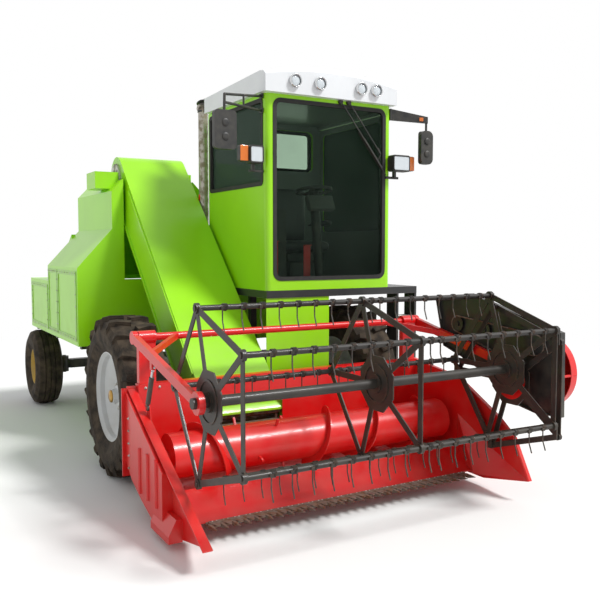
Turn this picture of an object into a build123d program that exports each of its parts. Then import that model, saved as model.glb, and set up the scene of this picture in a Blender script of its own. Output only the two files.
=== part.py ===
from build123d import *
import math
import os

os.makedirs("parts", exist_ok=True)

# Self-propelled forage harvester with a reel and auger header.
# Lengths are millimetres. X points to the machine's left, Y to its rear, Z up.
# Working zero: the ground under the middle of the front axle. save() moves it to the box's middle.

# Wheels
DRIVE_D = 1265.0
DRIVE_W = 378.0
DRIVE_TRACK = 2080.0
DRIVE_RIM_R = 350.0
DRIVE_HUB_R = 82.0
LUG_H = 34.0
LUG_W = 46.0
LUG_COUNT = 20
LUG_ANGLE = 18.0
GROOVE_W = 16.0
GROOVE_DEPTH = 12.0
STEER_D = 845.0
STEER_W = 290.0
STEER_TRACK = 2080.0
STEER_RIM_R = 200.0
WHEELBASE = 3200.0
RUN_GAP = 0.3

# Header
END_X = 1200.0
WALL_T = 12.0
WING_X = 1305.0
RAIL_W_TOP = 57.0
RAIL_T = 8.0
SKID_X = 1300.0
PANEL_X = 1280.0
RIB_R = 14.0
POST_W = 120.0
HEADER_BACK_Y = -820.0
HEADER_BACK_TOP = 860.0
KNIFE_Y = -1640.0
KNIFE_Z = 118.0
GUARD_PITCH = 76.2
GUARD_COUNT = 27
GUARD_LEN = 105.0
DIVIDER_TIP_Y = -2090.0
DIVIDER_TIP_Z = 150.0
TOP_TUBE_R = 26.0
TOP_TUBE_Z = 1180.0
TOP_TUBE_Y = -790.0

# Auger
AUGER_Y = -1190.0
AUGER_Z = 440.0
AUGER_DRUM_R = 150.0
AUGER_FLIGHT_R = 205.0
FLIGHT_T = 6.0
FLIGHT_PITCH = 420.0
FLIGHT_RIGHT_X = -700.0
FLIGHT_LEFT_X = -120.0
MOUTH_Z0 = 450.0
MOUTH_Z1 = 700.0
DIVIDER_X = 1088.0
DIVIDER_TOP_Z = 340.0
AUGER_END_GAP = 70.0
AUGER_STUB_R = 40.0

# Reel
REEL_Y = -1930.0
REEL_Z = 935.0
REEL_R = 540.0
REEL_BARS = 5
REEL_HALF = 1150.0
REEL_SHAFT_R = 32.0
BAR_R = 17.0
STRAP_W = 40.0
STRAP_T = 8.0
HUB_PLATE_R = 190.0
HUB_RING_R = 128.0
TINE_LEN = 140.0
TINE_PITCH = 125.0
TINE_W = 6.0
CRANK_PIN_R = 9.0
SHEAVE_X1 = 1450.0
SHEAVE_R = 150.0
CASE_X0 = 1262.0
COVER_R = 222.0
COVER_Y = -1985.0
COVER_Z = 905.0
BRACE_X = 905.0
BRACE_REACH = 340.0
ECCENTRIC_DROP = 80.0
ARM_H = 62.0
ARM_T = 36.0
ARM_X = 1214.0

# Cylinders: pin to pin at rest, as (y, z) of the barrel's pin and of the rod's eye
LIFT_BASE = (-150.0, 330.0)
LIFT_EYE = (-720.0, 780.0)
LIFT_BARREL_R = 32.0
LIFT_ROD_R = 18.0
LIFT_BARREL_LEN = 520.0
REEL_CYL_BASE = (-1050.0, 745.0)
REEL_CYL_EYE = (-1180.0, 1034.0)
REEL_CYL_BARREL_R = 17.0
REEL_CYL_ROD_R = 10.0
REEL_CYL_BARREL_LEN = 235.0
LIFT_PIN_R = 14.0
REEL_PIN_R = 8.0
EYE_DRIFT = 3.6
EYE_T = 14.0
EYE_WALL = 14.0
EYE_NECK = 26.0
LUG_T = 12.0

# Conveyor
CONV_W = 630.0
LIFT_TYRE_GAP = 106.0
LIFT_SIDE_GAP = 55.0
TYRE_INNER_X = (DRIVE_TRACK - DRIVE_W) / 2
TYRE_OUTER_X = (DRIVE_TRACK + DRIVE_W) / 2
CONV_X0 = LIFT_TYRE_GAP + LIFT_SIDE_GAP - TYRE_INNER_X
CONV_X1 = CONV_X0 + CONV_W
LIFT_XS = (CONV_X0 - LIFT_SIDE_GAP, CONV_X1 + LIFT_SIDE_GAP)
CONV_SHEET = 8.0
CHAIN_R = 105.0
CHAIN_T = 18.0
SLAT_COUNT = 22
SHAFT_R = 28.0
HEAD_Y = 1340.0
HEAD_Z = 2460.0
HEAD_R = 190.0
TAIL_Y = -680.0
TAIL_Z = 500.0
TAIL_R = 165.0

# Body
BODY_SIDE_X = -1150.0
BODY_LEFT_X = 1150.0
BODY_FRONT_Y = 1050.0
BODY_MID_Y = 2300.0
BODY_REAR_Y = 3230.0
BODY_FLOOR_Z = 900.0
SHOULDER_Z = 1610.0
TOWER_X = CONV_X0 - 136.0
TOWER_BASE_Z = 1965.0
TOWER_TOP_Z = 2310.0
TOWER_CROWN_Z = 2420.0
REAR_DECK_Z = 1450.0
SHEET = 30.0
PANEL_T = 5.0
BEARING_BOX_X = CONV_X0 - 243.0
HINGE_XS = (-800.0, 800.0)
HINGE_HALF = 30.0
HINGE_R = 16.0
HINGE_PIN_R = 8.0
HINGE_LUG_R = 13.0
HINGE_Y = BODY_REAR_Y + 18.0
HINGE_Z = REAR_DECK_Z - SHEET - 28.0
SIDE_GAP = 25.0
LOUVRES = 9
# Side panels as (front y, rear y, top z)
PANELS = [
    (BODY_FRONT_Y + 40, 1840.0, SHOULDER_Z - 30),
    (1860.0, BODY_MID_Y - 20, SHOULDER_Z - 30),
    (BODY_MID_Y + 20, BODY_REAR_Y - 60, REAR_DECK_Z - 40),
]

# Cab
CAB_X0 = CONV_X1 + 30.0
CAB_X1 = CAB_X0 + 1210.0
CAB_Y0 = -480.0
CAB_Y1 = 700.0
CAB_Z0 = 1450.0
CAB_Z1 = 3005.0
SIDE_SILL = 2290.0
CAB_ROUND = 40.0
DOOR_GAP = 6.0
# Levers on the cab's console as (y of the foot, lean of the tip)
LEVERS = [(-200.0, -30.0), (-120.0, -20.0), (-40.0, 0.0), (60.0, 30.0), (140.0, 20.0)]
PILLAR = 60.0
TOP_RAIL = 32.0
FRONT_PANE_X = (CAB_X0 + PILLAR, CAB_X1 - PILLAR)
FRONT_PANE_Z = (CAB_Z0 + 80, CAB_Z1 - TOP_RAIL)
FRONT_PANE_R = 70.0
REAR_PANE_X = (CAB_X0 + 400, CAB_X1 - 110)
REAR_PANE_Z = (CAB_Z0 + 1081, CAB_Z1 - 84)
REAR_PANE_R = 60.0
WHEEL_RIM_R = 160.0
WHEEL_RIM_Z = CAB_Z0 + 820
DOOR_GRAB_R = 11.0
ROOF_T = 165.0
ROOF_CROWN = 70.0
LADDER_X0 = TYRE_OUTER_X + 33.0
DECK_X1 = LADDER_X0 + 218.0
GRAB_R = 16.0
EXHAUST_R = 45.0
MIRROR_TUBE_R = 10.0
MIRROR_Y = -750.0
LAMP_R = 50.0
GRAB_TOP = 2234.0
COVER_X1 = 1560.0
DECK_T = 60.0
GLASS_T = 6.0
DOOR_PIN_X = CAB_X1 + 16.0
DOOR_PIN_Y = CAB_Y1 - PILLAR - DOOR_GAP
DOOR_PIN_R = 7.0
DOOR_HINGE_ZS = (CAB_Z0 + 320.0, CAB_Z1 - 260.0)

# Chassis
RAIL_X = 400.0
RAIL_W = 90.0
RAIL_Z0 = 650.0
RAIL_Z1 = 800.0
RAIL_Y1 = WHEELBASE + 250.0
AXLE_H = 130.0

DRIVE_R = DRIVE_D / 2
STEER_R = STEER_D / 2
DECK_TOP = CAB_Z0
DECK_BOTTOM = CAB_Z0 - DECK_T

# Box of the whole machine, for the frame's zero
TINE_BACK = 30.0
BOX_X0 = -WING_X
BOX_X1 = COVER_X1
BOX_Y0 = REEL_Y - REEL_R * math.cos(math.radians(36)) - BAR_R - TINE_BACK
BOX_Y1 = WHEELBASE + STEER_R
ZERO_X = (BOX_X0 + BOX_X1) / 2
ZERO_Y = (BOX_Y0 + BOX_Y1) / 2


def save(name, *shapes):
    solids = []
    for shape in shapes:
        solids.extend(shape.solids())
    whole = Compound(children=[Pos(-ZERO_X, -ZERO_Y, 0) * s for s in solids])
    export_step(whole, f"parts/{name}.step")


def block(x0, x1, y0, y1, z0, z1):
    return Pos((x0 + x1) / 2, (y0 + y1) / 2, (z0 + z1) / 2) * Box(x1 - x0, y1 - y0, z1 - z0)


def prism_x(x0, x1, points):
    """Outline of (y, z) points, pushed along X."""
    face = make_face(Polyline(*[(x0, y, z) for y, z in points], close=True))
    return extrude(face, amount=x1 - x0, dir=(1, 0, 0))


def prism_y(y0, y1, points):
    """Outline of (x, z) points, pushed along Y."""
    face = make_face(Polyline(*[(x, y0, z) for x, z in points], close=True))
    return extrude(face, amount=y1 - y0, dir=(0, 1, 0))


def prism_z(z0, z1, points):
    """Outline of (x, y) points, pushed along Z."""
    face = make_face(Polyline(*[(x, y, z0) for x, y in points], close=True))
    return extrude(face, amount=z1 - z0, dir=(0, 0, 1))


def rod(p, q, r):
    p, q = Vector(*p), Vector(*q)
    plane = Plane(origin=p, z_dir=(q - p))
    return extrude(plane * Circle(r), amount=(q - p).length)


def bar(p, q, width, height, up=(0, 0, 1)):
    """Straight bar of a rectangular section from p to q."""
    p, q = Vector(*p), Vector(*q)
    along = (q - p).normalized()
    side = along.cross(Vector(*up)).normalized()
    plane = Plane(origin=p, x_dir=side, z_dir=along)
    return extrude(plane * Rectangle(width, height), amount=(q - p).length)


def disc_x(x0, x1, y, z, r):
    return Pos((x0 + x1) / 2, y, z) * Rot(0, 90, 0) * Cylinder(r, x1 - x0)


def ring_x(x0, x1, y, z, r, hole):
    return disc_x(x0, x1, y, z, r) - disc_x(x0 - 5, x1 + 5, y, z, hole)


def spun_x(x, y, z, profile):
    """(x, r) points turned about an X axis through x, y, z."""
    face = make_face(Polyline(*[(px, 0, pr) for px, pr in profile], close=True))
    return Pos(x, y, z) * revolve(face, Axis.X, 360)


def eye_with_neck(x, at, along, pin_r, hole, reach):
    """Flat eye round a pin, with its neck towards the tube."""
    eye = disc_x(x - EYE_T / 2, x + EYE_T / 2, *at, pin_r + EYE_WALL)
    eye += bar(Vector(x, *at), Vector(x, *at) + along * reach, 2 * pin_r, EYE_T, up=(1, 0, 0))
    return eye - disc_x(x - EYE_T, x + EYE_T, *at, hole)


def barrel(x, base, eye, r, rod_r, length, pin_r):
    """Cylinder barrel with its lower eye, bored for the rod."""
    along = Vector(0, eye[0] - base[0], eye[1] - base[1]).normalized()
    start = Vector(x, *base)
    neck = pin_r + EYE_NECK
    tube = rod(start + along * neck, start + along * length, r)
    tube -= rod(start + along * (neck + EYE_WALL), start + along * (length + r), rod_r + RUN_GAP)
    return tube + eye_with_neck(x, base, along, pin_r, pin_r + RUN_GAP, neck)


def piston_rod(x, base, eye, rod_r, pin_r):
    """Piston rod with its eye. The eye has clearance round the pin, because the linkage is opened there."""
    along = Vector(0, eye[0] - base[0], eye[1] - base[1]).normalized()
    start = Vector(x, *base) + along * (pin_r + 2 * EYE_NECK)
    end = Vector(x, *eye) - along * (pin_r + EYE_NECK)
    ram = rod(start, end, rod_r)
    return ram + eye_with_neck(x, eye, along * -1, pin_r, pin_r + EYE_DRIFT, pin_r + EYE_NECK)


# Wheels

def drive_tyre(x):
    """Carcass and its two rows of bar lugs, which lean forwards to the shoulders."""
    half = DRIVE_W / 2
    body_r = DRIVE_R - LUG_H
    profile = [
        (-half * 0.74, DRIVE_RIM_R),
        (-half + 6, DRIVE_RIM_R + 90),
        (-half + 6, body_r - 90),
        (-half * 0.84, body_r - 20),
        (-half * 0.45, body_r),
        (half * 0.45, body_r),
        (half * 0.84, body_r - 20),
        (half - 6, body_r - 90),
        (half - 6, DRIVE_RIM_R + 90),
        (half * 0.74, DRIVE_RIM_R),
    ]
    tyre = spun_x(x, 0, DRIVE_R, profile)
    lug_profile = [
        (6, body_r - 12),
        (6, DRIVE_R),
        (half * 0.6, DRIVE_R - 2),
        (half * 0.9, DRIVE_R - 16),
        (half, DRIVE_R - 74),
        (half * 0.97, body_r - 80),
        (half * 0.8, body_r - 34),
    ]
    lugs = []
    for side in (-1, 1):
        outline = [(side * px, pz) for px, pz in lug_profile]
        lug = Rot(0, 0, side * LUG_ANGLE) * prism_y(-LUG_W / 2, LUG_W / 2, outline)
        lug &= disc_x(-half, half, 0, 0, DRIVE_R)
        for k in range(LUG_COUNT):
            turn = 360 / LUG_COUNT * (k + (0.5 if side > 0 else 0))
            lugs.append(Pos(x, 0, DRIVE_R) * Rot(turn, 0, 0) * lug)
    return tyre.fuse(*lugs)


def drive_rim(x, out):
    """Rim with its dished disc and hub. out is +1 on the machine's left."""
    half = DRIVE_W / 2 * 0.74
    r = DRIVE_RIM_R
    profile = [
        (half, r),
        (half, r - 8),
        (half - 26, r - 26),
        (half - 60, r - 30),
        (60, r - 62),
        (24, r - 110),
        (12, 150),
        (40, 120),
        (40, DRIVE_HUB_R),
        (26, DRIVE_HUB_R),
        (26, 116),
        (-2, 146),
        (10, r - 116),
        (44, r - 74),
        (-half + 60, r - 38),
        (-half + 20, r - 26),
        (-half, r - 8),
        (-half, r),
    ]
    rim = spun_x(x, 0, DRIVE_R, [(out * px, pr) for px, pr in profile])
    hub = spun_x(x, 0, DRIVE_R, [(out * px, pr) for px, pr in (
        (-60, 0), (-60, DRIVE_HUB_R), (70, DRIVE_HUB_R), (76, 60), (110, 55), (116, 48), (116, 0))])
    return rim + hub


def steer_tyre(x):
    """Ribbed front-type tyre with three grooves round it."""
    half = STEER_W / 2
    profile = [
        (-half * 0.72, STEER_RIM_R),
        (-half, STEER_RIM_R + 80),
        (-half, STEER_R - 80),
        (-half * 0.8, STEER_R - 18),
        (-half * 0.45, STEER_R),
    ]
    for gx in (-STEER_W * 0.18, 0, STEER_W * 0.18):
        profile += [
            (gx - GROOVE_W / 2, STEER_R),
            (gx - GROOVE_W / 4, STEER_R - GROOVE_DEPTH),
            (gx + GROOVE_W / 4, STEER_R - GROOVE_DEPTH),
            (gx + GROOVE_W / 2, STEER_R),
        ]
    profile += [
        (half * 0.45, STEER_R),
        (half * 0.8, STEER_R - 18),
        (half, STEER_R - 80),
        (half, STEER_RIM_R + 80),
        (half * 0.72, STEER_RIM_R),
    ]
    return spun_x(x, WHEELBASE, STEER_R, profile)


def steer_rim(x, out):
    half = STEER_W / 2 * 0.72
    r = STEER_RIM_R
    profile = [
        (half, r),
        (half, r - 8),
        (half - 30, r - 24),
        (40, r - 34),
        (20, r - 70),
        (30, 90),
        (30, 50),
        (20, 50),
        (20, 88),
        (10, r - 74),
        (30, r - 44),
        (-half + 30, r - 24),
        (-half, r - 8),
        (-half, r),
    ]
    rim = spun_x(x, WHEELBASE, STEER_R, [(out * px, pr) for px, pr in profile])
    hub = spun_x(x, WHEELBASE, STEER_R, [(out * px, pr) for px, pr in (
        (-75, 0), (-75, 50), (55, 50), (70, 38), (78, 30), (78, 0))])
    return rim + hub


# Chassis

KINGPIN_X = STEER_TRACK / 2 - 235


def chassis():
    y0 = 70
    left = block(RAIL_X - RAIL_W / 2, RAIL_X + RAIL_W / 2, y0, RAIL_Y1, RAIL_Z0, RAIL_Z1)
    right = block(-RAIL_X - RAIL_W / 2, -RAIL_X + RAIL_W / 2, y0, RAIL_Y1, RAIL_Z0, RAIL_Z1)
    frame = left + right
    for y in (y0, 1000, 2200, RAIL_Y1 - 100):
        frame += block(-RAIL_X, RAIL_X, y, y + 100, RAIL_Z0 + 10, RAIL_Z1 - 10)
    # Crossmember over the rear axle's pivot
    frame += block(-RAIL_X, RAIL_X, WHEELBASE - 50, WHEELBASE + 50, RAIL_Z0 + 10, RAIL_Z1 - 10)
    # Outriggers that carry the body's sills
    for y in (BODY_FRONT_Y + 100, BODY_MID_Y - 150, BODY_REAR_Y - 80):
        frame += block(BODY_SIDE_X + 50, BODY_LEFT_X - 50, y, y + 60, BODY_FLOOR_Z - 40, BODY_FLOOR_Z)
        for x in (-RAIL_X, RAIL_X):
            frame += block(x - 30, x + 30, y, y + 60, RAIL_Z1, BODY_FLOOR_Z - 40)
    # Posts under the cab deck
    post_x = TYRE_INNER_X - 91
    for y in (140, 640):
        frame += block(RAIL_X, post_x, y, y + 60, RAIL_Z0 + 20, RAIL_Z1)
        for x in (380, post_x - 60):
            frame += block(x, x + 60, y, y + 60, RAIL_Z1, DECK_BOTTOM)
    return frame


def front_axle():
    z = DRIVE_R
    inner = TYRE_INNER_X
    flange = DRIVE_TRACK / 2 - 60 - RUN_GAP
    beam = block(-inner + 60, inner - 60, -65, 65, z - AXLE_H / 2, z + 17)
    for s in (-1, 1):
        x0, x1 = sorted((s * (inner - 130), s * (inner - 20)))
        beam += block(x0, x1, -110, 110, z - 130, z + 120)
        spindle = sorted((s * (inner - 20), s * flange))
        beam += disc_x(spindle[0], spindle[1], 0, z, 70)
    beam += disc_x(-160, 160, 0, z - 25, 150) - block(-200, 200, -200, 200, z + 17.5, z + 300)
    lug = [
        (LIFT_BASE[0] - 24, LIFT_BASE[1] - 24),
        (LIFT_BASE[0] + 24, LIFT_BASE[1] - 24),
        (-50, z - 140),
        (-50, z - 60),
        (-105, z - 60),
        (LIFT_BASE[0], LIFT_BASE[1] + 24),
        (LIFT_BASE[0] - 24, LIFT_BASE[1]),
    ]
    for x in LIFT_XS:
        for side in (-1, 1):
            plate_x = sorted((x + side * (EYE_T / 2 + RUN_GAP), x + side * (EYE_T / 2 + RUN_GAP + LUG_T)))
            beam += prism_x(plate_x[0], plate_x[1], lug)
        beam += disc_x(x - EYE_T / 2 - LUG_T, x + EYE_T / 2 + LUG_T, *LIFT_BASE, LIFT_PIN_R)
    return beam


def rear_axle():
    z = STEER_R
    beam = block(-KINGPIN_X + 60, KINGPIN_X - 60, WHEELBASE - 50, WHEELBASE + 50, z - 40, z + 60)
    for s in (-1, 1):
        eye = Pos(s * KINGPIN_X, WHEELBASE, z + 10) * Cylinder(45, 100)
        neck_x = sorted((s * (KINGPIN_X - 70), s * (KINGPIN_X - 10)))
        beam += block(neck_x[0], neck_x[1], WHEELBASE - 35, WHEELBASE + 35, z - 40, z + 60) + eye
    beam -= Pos(KINGPIN_X, WHEELBASE, z) * Cylinder(20 + RUN_GAP, 300)
    beam -= Pos(-KINGPIN_X, WHEELBASE, z) * Cylinder(20 + RUN_GAP, 300)
    beam += block(-90, 90, WHEELBASE - 50, WHEELBASE + 50, z + 59, RAIL_Z0 + 10.0)
    return beam


def knuckle(s):
    z = STEER_R
    x = s * KINGPIN_X
    pin = Pos(x, WHEELBASE, z + 10) * Cylinder(20, 200)
    top = Pos(x, WHEELBASE, z + 10 + 50.3 + 20) * Cylinder(50, 40)
    bottom = Pos(x, WHEELBASE, z + 10 - 50.3 - 20) * Cylinder(50, 40)
    stub_x = s * (STEER_TRACK / 2 - 75 - RUN_GAP)
    side = sorted((x + s * 46, x + s * 80))
    arm = block(side[0], side[1], WHEELBASE - 45, WHEELBASE + 45, z - 80.3, z + 100.3)
    link_x = sorted((x, x + s * 60))
    links = block(*link_x, WHEELBASE - 30, WHEELBASE + 30, z + 60.3, z + 100.3)
    links += block(*link_x, WHEELBASE - 30, WHEELBASE + 30, z - 80.3, z - 40.3)
    stub = disc_x(min(x + s * 60, stub_x), max(x + s * 60, stub_x), WHEELBASE, z, 32)
    return pin + top + bottom + arm + links + stub


def engine():
    """Plain engine block on two bearers that rest on the body's outriggers."""
    block_z0 = BODY_FLOOR_Z + 40
    out = block(150, 750, BODY_FRONT_Y + 180, BODY_MID_Y - 200, block_z0, 1450)
    for x in (190, 640):
        out += block(x, x + 70, BODY_FRONT_Y + 100, BODY_MID_Y - 90, BODY_FLOOR_Z, block_z0)
    return out


def rear_hitch():
    y = RAIL_Y1
    plate = block(-220, 220, y, y + 20, RAIL_Z0, RAIL_Z1)
    ear_top = block(-50, 50, y + 20, y + 130, 740, 765)
    ear_bottom = block(-50, 50, y + 20, y + 130, 665, 690)
    hitch = plate + ear_top + ear_bottom
    return hitch - Pos(0, y + 85, 715) * Cylinder(16, 300)


# Body

def bin_left_x():
    return CONV_X1 + SIDE_GAP + 105


def bin_section():
    left = bin_left_x()
    return [
        (BODY_SIDE_X, BODY_FLOOR_Z),
        (BODY_SIDE_X, SHOULDER_Z),
        (TOWER_X, TOWER_BASE_Z),
        (TOWER_X, TOWER_TOP_Z),
        (TOWER_X + 105, TOWER_CROWN_Z),
        (left - 105, TOWER_CROWN_Z),
        (left, TOWER_TOP_Z),
        (left, BODY_FLOOR_Z),
    ]


def hump(inset):
    """Outline of the sloping cover behind the tower."""
    return [
        (BODY_MID_Y, REAR_DECK_Z - inset),
        (BODY_MID_Y, 1930 - inset),
        (BODY_REAR_Y - 110 - inset, REAR_DECK_Z - inset),
    ]


def crop_bin():
    left = bin_left_x()
    t = SHEET
    slot_x0 = CONV_X0 - SIDE_GAP
    slot_x1 = CONV_X1 + SIDE_GAP
    shell = prism_y(BODY_FRONT_Y, BODY_MID_Y, bin_section())
    shell += block(BODY_SIDE_X, BODY_LEFT_X, BODY_MID_Y, BODY_REAR_Y, BODY_FLOOR_Z, REAR_DECK_Z)
    shell += prism_x(-900, 900, hump(0))
    # Bearing housings for the conveyor's head shaft
    shell += block(BEARING_BOX_X, slot_x0, 1200, 1500, 2340, HEAD_Z + 35)
    shell += block(slot_x1, slot_x1 + 70, HEAD_Y - 70, HEAD_Y + 70, TOWER_CROWN_Z - 60, HEAD_Z + 50)
    # Slot for the conveyor's head
    shell -= block(slot_x0, slot_x1, BODY_FRONT_Y - 50, 1760, 1500, 3000)
    # Hollow inside, one space that the conveyor fills
    shell -= block(BODY_SIDE_X + t, left - t, BODY_FRONT_Y + t, BODY_MID_Y + 50, BODY_FLOOR_Z + t, 1500)
    shell -= block(slot_x0, slot_x1, 1700, BODY_MID_Y - t, 1450, TOWER_CROWN_Z - t)
    shell -= block(BODY_SIDE_X + t, BODY_LEFT_X - t, BODY_MID_Y, BODY_REAR_Y + 50,
                   BODY_FLOOR_Z + t, REAR_DECK_Z - t)
    shell -= prism_x(-900 + t, 900 - t, hump(t))
    shell -= disc_x(slot_x0 - 60, slot_x0 + 5, HEAD_Y, HEAD_Z, SHAFT_R + RUN_GAP)
    shell -= disc_x(slot_x1 - 5, slot_x1 + 60, HEAD_Y, HEAD_Z, SHAFT_R + RUN_GAP)
    # Hinge pins of the tail door
    for x in HINGE_XS:
        for side in (-1, 1):
            lug_x = sorted((x + side * (HINGE_HALF + RUN_GAP), x + side * (HINGE_HALF + 14)))
            shell += disc_x(*lug_x, HINGE_Y, HINGE_Z, HINGE_LUG_R)
            shell += block(*lug_x, BODY_REAR_Y + 6, HINGE_Y + HINGE_LUG_R, HINGE_Z, REAR_DECK_Z)
            shell += block(*lug_x, BODY_REAR_Y - 5, BODY_REAR_Y + 6, REAR_DECK_Z - t, REAR_DECK_Z)
        shell += disc_x(x - HINGE_HALF - 5, x + HINGE_HALF + 5, HINGE_Y, HINGE_Z, HINGE_PIN_R)
    return shell


def side_panels():
    """Pressed steel panels on both flanks, a shallow tray each."""
    out = []
    for y0, y1, z1 in PANELS:
        for x, s in ((BODY_SIDE_X, -1), (BODY_LEFT_X, 1)):
            if s > 0 and y0 < BODY_MID_Y:
                continue
            flat = sorted((x, x + s * PANEL_T))
            tray = block(flat[0], flat[1], y0, y1, BODY_FLOOR_Z + 40, z1)
            tray -= block(flat[0] - 5, flat[1] + 5, y0 + 40, y1 - 40, BODY_FLOOR_Z + 80, z1 - 40)
            out.append(tray)
    return out


def tail_door():
    t = SHEET
    gap = 6
    x0 = BODY_SIDE_X + t + gap
    x1 = BODY_LEFT_X - t - gap
    door = block(x0, x1, BODY_REAR_Y - 25, BODY_REAR_Y, BODY_FLOOR_Z + t + gap, REAR_DECK_Z - t - 12)
    for x in (-700, 0, 700):
        door += block(x - 30, x + 30, BODY_REAR_Y, BODY_REAR_Y + 25, BODY_FLOOR_Z + 60, REAR_DECK_Z - 60)
    for x in HINGE_XS:
        door += block(x - HINGE_HALF, x + HINGE_HALF, BODY_REAR_Y - 5, HINGE_Y, HINGE_Z - 40, HINGE_Z - 6)
        knuckle_x = (x - HINGE_HALF, x + HINGE_HALF)
        door += disc_x(*knuckle_x, HINGE_Y, HINGE_Z, HINGE_R)
        door -= disc_x(knuckle_x[0] - 5, knuckle_x[1] + 5, HINGE_Y, HINGE_Z, HINGE_PIN_R + RUN_GAP)
    return door


def engine_hood():
    left = bin_left_x()
    t = 25
    y0, y1 = 820, BODY_MID_Y
    hood = block(left, BODY_LEFT_X, y0, y1, BODY_FLOOR_Z, SHOULDER_Z)
    hood -= block(left + t, BODY_LEFT_X - t, y0 + t, y1 - t, BODY_FLOOR_Z - 10, SHOULDER_Z - t)
    # Cooling louvres in the outer side
    for k in range(LOUVRES):
        z = BODY_FLOOR_Z + 120 + k * 55
        hood -= block(BODY_LEFT_X - t - 5, BODY_LEFT_X + 5, y0 + 250, y1 - 250, z, z + 26)
    return hood


# Conveyor

def trunk_loop(x, less):
    """Outline round both shafts: straight runs with an arc at each end, drawn in by less."""
    head_r, tail_r = HEAD_R - less, TAIL_R - less
    dy, dz = HEAD_Y - TAIL_Y, HEAD_Z - TAIL_Z
    lean = math.atan2(dz, dy)
    tilt = math.asin((head_r - tail_r) / math.hypot(dy, dz))
    top = lean + math.pi / 2 + tilt
    low = lean - math.pi / 2 - tilt

    def on(y, z, r, a):
        return (x, y + r * math.cos(a), z + r * math.sin(a))

    head_top = on(HEAD_Y, HEAD_Z, head_r, top)
    head_low = on(HEAD_Y, HEAD_Z, head_r, low)
    tail_low = on(TAIL_Y, TAIL_Z, tail_r, low)
    tail_top = on(TAIL_Y, TAIL_Z, tail_r, top)
    return make_face([
        Line(tail_top, head_top),
        ThreePointArc(head_top, on(HEAD_Y, HEAD_Z, head_r, lean), head_low),
        Line(head_low, tail_low),
        ThreePointArc(tail_low, on(TAIL_Y, TAIL_Z, tail_r, lean + math.pi), tail_top),
    ])


def conveyor_trunk():
    t = CONV_SHEET
    trunk = extrude(trunk_loop(CONV_X0, 0), amount=CONV_W, dir=(1, 0, 0))
    trunk -= extrude(trunk_loop(CONV_X0 + t, t), amount=CONV_W - 2 * t, dir=(1, 0, 0))
    trunk -= block(CONV_X0 - 10, CONV_X1 + 10, HEADER_BACK_Y - 200, HEADER_BACK_Y, 0, 1000)
    # Discharge opening under the head
    trunk -= block(CONV_X0 + t, CONV_X1 - t, HEAD_Y + 10, HEAD_Y + 150, HEAD_Z - 300, HEAD_Z - 60)
    for y, z in ((HEAD_Y, HEAD_Z), (TAIL_Y, TAIL_Z)):
        trunk -= disc_x(CONV_X0 - 5, CONV_X1 + 5, y, z, SHAFT_R)
    # Angle rails along the upper and lower edges of the right side
    for less in (12, 2 * TAIL_R - 12):
        trunk += side_rail(less)
    return trunk


def side_rail(less):
    """Stiffening strip on the trunk's right side, less below the upper run."""
    dy, dz = HEAD_Y - TAIL_Y, HEAD_Z - TAIL_Z
    run = math.hypot(dy, dz)
    off_y, off_z = -dz / run * (TAIL_R - less), dy / run * (TAIL_R - less)
    x = CONV_X0 - 6
    start = (x, TAIL_Y + off_y + dy * 0.12, TAIL_Z + off_z + dz * 0.12)
    end = (x, TAIL_Y + off_y + dy * 0.86, TAIL_Z + off_z + dz * 0.86)
    return bar(start, end, 24, 12, up=(1, 0, 0))


def conveyor_head():
    """Head shaft, which the bin's housings carry, with its bearing plates."""
    shaft = disc_x(CONV_X0 - 55, CONV_X1 + 55, HEAD_Y, HEAD_Z, SHAFT_R)
    shaft += disc_x(CONV_X0 - 18, CONV_X0, HEAD_Y, HEAD_Z, 125)
    return shaft + disc_x(CONV_X1, CONV_X1 + 18, HEAD_Y, HEAD_Z, 125)


def conveyor_chain():
    """Two chains on their sprockets, the slats between them and the tail shaft with its drive sprocket."""
    chain_less = TAIL_R - CHAIN_R
    out = disc_x(CONV_X0 - 18, CONV_X1 + 18, TAIL_Y, TAIL_Z, SHAFT_R)
    out += disc_x(CONV_X0 - 14, CONV_X0 - 6, TAIL_Y, TAIL_Z, 62)
    for x in (CONV_X0 + 40, CONV_X1 - 40 - CHAIN_T):
        links = trunk_loop(x, chain_less) - trunk_loop(x, chain_less + 20)
        out += extrude(links, amount=CHAIN_T, dir=(1, 0, 0))
        out += disc_x(x, x + CHAIN_T, TAIL_Y, TAIL_Z, CHAIN_R - 15)
        head = disc_x(x, x + CHAIN_T, HEAD_Y, HEAD_Z, HEAD_R - chain_less - 15)
        out += head - disc_x(x - 5, x + CHAIN_T + 5, HEAD_Y, HEAD_Z, SHAFT_R)
    dy, dz = HEAD_Y - TAIL_Y, HEAD_Z - TAIL_Z
    run = math.hypot(dy, dz)
    along = Vector(0, dy / run, dz / run)
    across = Vector(0, -dz / run, dy / run)
    x0, x1 = CONV_X0 + 20, CONV_X1 - 20
    for k in range(SLAT_COUNT):
        side = 1 if k % 2 else -1
        reach = CHAIN_R + 6 + k / SLAT_COUNT * (HEAD_R - TAIL_R)
        at = Vector(0, TAIL_Y, TAIL_Z) + along * (run * (k + 0.5) / SLAT_COUNT) + across * side * reach
        out += bar(Vector(x0, at.Y, at.Z), Vector(x1, at.Y, at.Z), 34, 22, up=across)
    # Slats round the tail, in sight at the mouth
    for a in (150, 190, 230):
        out_y, out_z = math.cos(math.radians(a)), math.sin(math.radians(a))
        y = TAIL_Y + (CHAIN_R + 6) * out_y
        z = TAIL_Z + (CHAIN_R + 6) * out_z
        out += bar((x0, y, z), (x1, y, z), 34, 22, up=(0, out_y, out_z))
    return out


# Cab

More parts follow.
